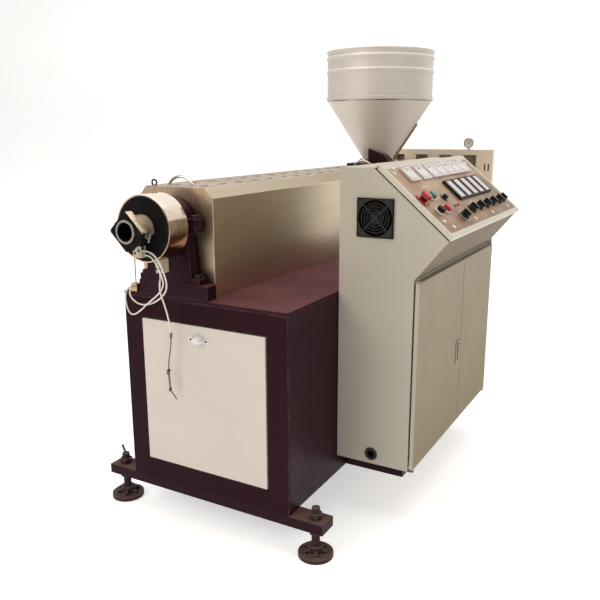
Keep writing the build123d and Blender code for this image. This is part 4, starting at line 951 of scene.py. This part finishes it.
ceramic = plastic("ceramic", (0.56, 0.47, 0.37), (0.44, 0.36, 0.27), 0.25, scale=300.0)
dressed("heater_plugs", 0.002, ceramic, "ceramic")
plugs_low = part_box("heater_plugs")[0]
front_plug = Vector((adaptor_x - 0.008, plugs_low.y, adaptor_z - 0.064))
band_plug = Vector((adaptor_x + 0.028, (band_low.y + band_high.y) / 2 - 0.016, plugs_low.z + 0.013))
port_steps = ((front_plug, Vector((0.0075, 0.0, 0.004))), (band_plug, Vector((0.005, 0.0, 0.0))))
ports = [plug + side * step for plug, step in port_steps for side in (-1, 1)]
port_brown = plastic("port_brown", (0.06, 0.022, 0.018), (0.035, 0.014, 0.012), 0.5, shine=0.2)
grown("plug_ports", collar, ports, frontward, port_brown, "black_plastic", radius=0.0042, height=0.0006)
plug_clip = (front_plug + Vector((0.0105, -0.001, 0.002)), front_plug + Vector((0.017, 0.012, 0.0185)))
blocks("plug_clip", [plug_clip], 0.0012, zinc, "foot_zinc")
terminal_brass = metal("terminal_brass", (0.62, 0.43, 0.22), (0.45, 0.3, 0.15), 0.35, even, 70.0)
dressed("corner_terminal", 0.0012, terminal_brass, "terminal_brass")
drawn = (1.0, 1.0, 0.3)
dark_sheath = metal("dark_sheath", (0.07, 0.055, 0.05), (0.03, 0.025, 0.022), 0.45, drawn, 150.0)
probe_sheath = metal("probe_sheath", (0.26, 0.19, 0.14), (0.12, 0.09, 0.065), 0.45, drawn, 150.0)
dressed("sensor_probe", 0.0001, probe_sheath, "dark_wire", sharp=80.0)
dressed("earth_wire", 0.0001, dark_sheath, "dark_wire", sharp=80.0)
lead_sleeve, tree = new_material("lead_sleeve")
own = add(tree, "ShaderNodeTexCoord").outputs["Object"]
weave = add(tree, "ShaderNodeTexVoronoi", vector=own, scale=900.0).outputs["Distance"]
soil_and_shade = between(tree, noise(tree, 30.0, 5.0), 0.35, 0.75)
surfaced(lead_sleeve, mixed(tree, soil_and_shade, (0.8, 0.76, 0.7), (0.62, 0.56, 0.49)), 0.8, weave, 0.4, 0.0004)
lead_diameter = 0.005


def lead(name, route, node):
    """A limp lead along the route, fixed to the machine at both ends."""
    curve = bpy.data.curves.new(name, "CURVE")
    curve.dimensions = "3D"
    curve.bevel_depth = lead_diameter / 2
    curve.bevel_resolution = 4
    curve.resolution_u = 12
    curve.use_fill_caps = True
    spline = curve.splines.new("NURBS")
    spline.points.add(len(route) - 1)
    for point, place in zip(spline.points, route):
        point.co = (*place, 1.0)
    spline.order_u = 3
    spline.use_endpoint_u = True
    curve.materials.append(lead_sleeve)
    piece = bpy.data.objects.new(name, curve)
    bpy.context.collection.objects.link(piece)
    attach(piece, "machine")
    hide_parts(node)


datum = Vector((adaptor_x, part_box("base_front_wall")[0].y, 0.0))


def from_datum(*points):
    """Points given from the barrel's line, the base's front and the floor."""
    return [tuple(datum + Vector(point)) for point in points]


upper_route = from_datum(
    (0.008, -0.114, 0.914), (0.024, -0.114, 0.914), (0.048, -0.114, 0.906), (0.064, -0.110, 0.882),
    (0.066, -0.098, 0.852), (0.052, -0.068, 0.816), (0.018, -0.034, 0.774), (-0.032, -0.022, 0.738),
    (-0.076, -0.020, 0.722), (-0.106, -0.024, 0.724), (-0.132, -0.030, 0.746), (-0.137, -0.021, 0.770),
    (-0.137, 0.003, 0.770))
lower_route = from_datum(
    (0.008, -0.107, 0.900), (0.022, -0.107, 0.900), (0.038, -0.108, 0.892), (0.052, -0.107, 0.872),
    (0.052, -0.093, 0.844), (0.036, -0.063, 0.812), (0.004, -0.037, 0.780), (-0.030, -0.029, 0.754),
    (-0.062, -0.029, 0.730), (-0.090, -0.029, 0.706), (-0.116, -0.028, 0.689), (-0.134, -0.028, 0.688),
    (-0.146, -0.028, 0.704), (-0.149, -0.033, 0.740), (-0.149, -0.023, 0.770), (-0.149, 0.003, 0.770))
sensor_route = from_datum(
    (0.026, -0.065, 0.8417), (0.026, -0.065, 0.8257), (0.025, -0.070, 0.8077), (0.027, -0.071, 0.7837),
    (0.028, -0.059, 0.7517), (0.028, -0.047, 0.7197), (0.027, -0.037, 0.6877), (0.028, -0.031, 0.6497))
lead("upper_lead", upper_route, "upper_heater_lead")
lead("lower_lead", lower_route, "lower_heater_lead")
lead("probe_lead", sensor_route, "sensor_lead")
probe_end = Vector(sensor_route[-1])
upper_joint = probe_end + Vector((-0.017, 0.0, -0.127))
lower_joint = probe_end + Vector((-0.014, 0.0, -0.184))
joint_lean = Matrix.Rotation(math.radians(20.0), 4, "Y")
probe_clip = [((-0.0035, -0.003, -0.01), (0.0035, 0.003, 0.009)),
              ((-0.011, -0.0015, -0.001), (0.004, 0.0015, 0.002))]
ferrule = [((-0.003, -0.003, -0.007), (0.0035, 0.003, 0.006))]
for name, corners, joint in (("probe_clip", probe_clip, upper_joint),
                             ("probe_ferrule", ferrule, lower_joint)):
    blocks(name, corners, 0.001, dark_sheath, "dark_wire", place=Matrix.Translation(joint) @ joint_lean)
joint_run = upper_joint - lower_joint
grown("probe_sleeve", collar, [lower_joint], joint_run, probe_sheath, "dark_wire", radius=0.003,
      height=joint_run.length)


# Studio: a plain pale floor that curves up behind, soft light and the camera. The floor glows a
# little, so that it stays near white.

floor_half = 14.0
floor_bend = 3.0
floor_back = 9.0
wall_height = 12.0
floor_mesh = bpy.data.meshes.new("floor")
bm = bmesh.new()
steps = 16
profile = [(-floor_half, 0.0), (floor_back - floor_bend, 0.0)]
for step in range(1, steps + 1):
    angle = math.pi / 2 * step / steps
    profile.append((floor_back - floor_bend * (1 - math.sin(angle)), floor_bend * (1 - math.cos(angle))))
profile.append((floor_back, wall_height))
rows = [[bm.verts.new((x, y, z)) for y, z in profile] for x in (-floor_half, floor_half)]
for left, right, next_left, next_right in zip(rows[0], rows[1], rows[0][1:], rows[1][1:]):
    bm.faces.new((left, right, next_right, next_left)).smooth = True
bm.to_mesh(floor_mesh)
bm.free()
floor = bpy.data.objects.new("floor", floor_mesh)
bpy.context.collection.objects.link(floor)
floor_paint, tree = new_material("floor_paint")
sockets = tree.nodes["Principled BSDF"].inputs
white = mixed(tree, noise(tree, 1.5, 3.0), (0.86, 0.855, 0.85), (0.9, 0.895, 0.89))
for label, value in (("Base Color", white), ("Emission Color", white), ("Emission Strength", 0.6),
                     ("Roughness", 0.7)):
    feed(tree, sockets[label], value)
floor_mesh.materials.append(floor_paint)

world = bpy.data.worlds.new("studio")
bpy.context.scene.world = world
world.use_nodes = True
sky = world.node_tree
rise = between(sky, axes(sky, "Generated")["Z"], -0.1, 0.9)
backdrop = sky.nodes["Background"].inputs
feed(sky, backdrop["Color"], mixed(sky, rise, (0.5, 0.46, 0.42), (1.0, 0.98, 0.95)))
feed(sky, backdrop["Strength"], 0.45)


def soft_light(name, place, target, width, power, colour):
    """A square lamp at the place that shines on the target."""
    light = bpy.data.lights.new(name, "AREA")
    light.shape = "SQUARE"
    light.size = width
    light.energy = power
    light.color = colour
    lamp = bpy.data.objects.new(name, light)
    lamp.location = place
    lamp.rotation_mode = "QUATERNION"
    lamp.rotation_quaternion = (Vector(target) - Vector(place)).to_track_quat("-Z", "Y")
    bpy.context.collection.objects.link(lamp)


middle = (0.0, 0.0, 0.8)
soft_light("key", (-2.2, -4.5, 3.4), middle, 3.0, 105.0, (1.0, 0.97, 0.92))
soft_light("fill", (5.0, -2.5, 2.2), middle, 3.5, 12.0, (1.0, 0.95, 0.88))
soft_light("top", (0.3, 0.2, 5.0), middle, 4.0, 135.0, (1.0, 0.98, 0.96))

camera_data = bpy.data.cameras.new("camera")
camera_data.sensor_width = 36.0
camera_data.lens = 42.03
camera_data.clip_end = 100.0
camera = bpy.data.objects.new("camera", camera_data)
bpy.context.collection.objects.link(camera)
azimuth = math.radians(29.229)
elevation = math.radians(13.6445)
roll = math.radians(-0.12885)
backward = Vector((math.sin(azimuth) * math.cos(elevation), -math.cos(azimuth) * math.cos(elevation),
                   math.sin(elevation)))
camera.location = (1.1247, -2.6595, 1.2493)
camera.rotation_mode = "QUATERNION"
camera.rotation_quaternion = (-backward).to_track_quat("-Z", "Y") @ Quaternion((0.0, 0.0, 1.0), roll)
bpy.context.scene.camera = camera
bpy.context.scene.view_settings.view_transform = "Standard"
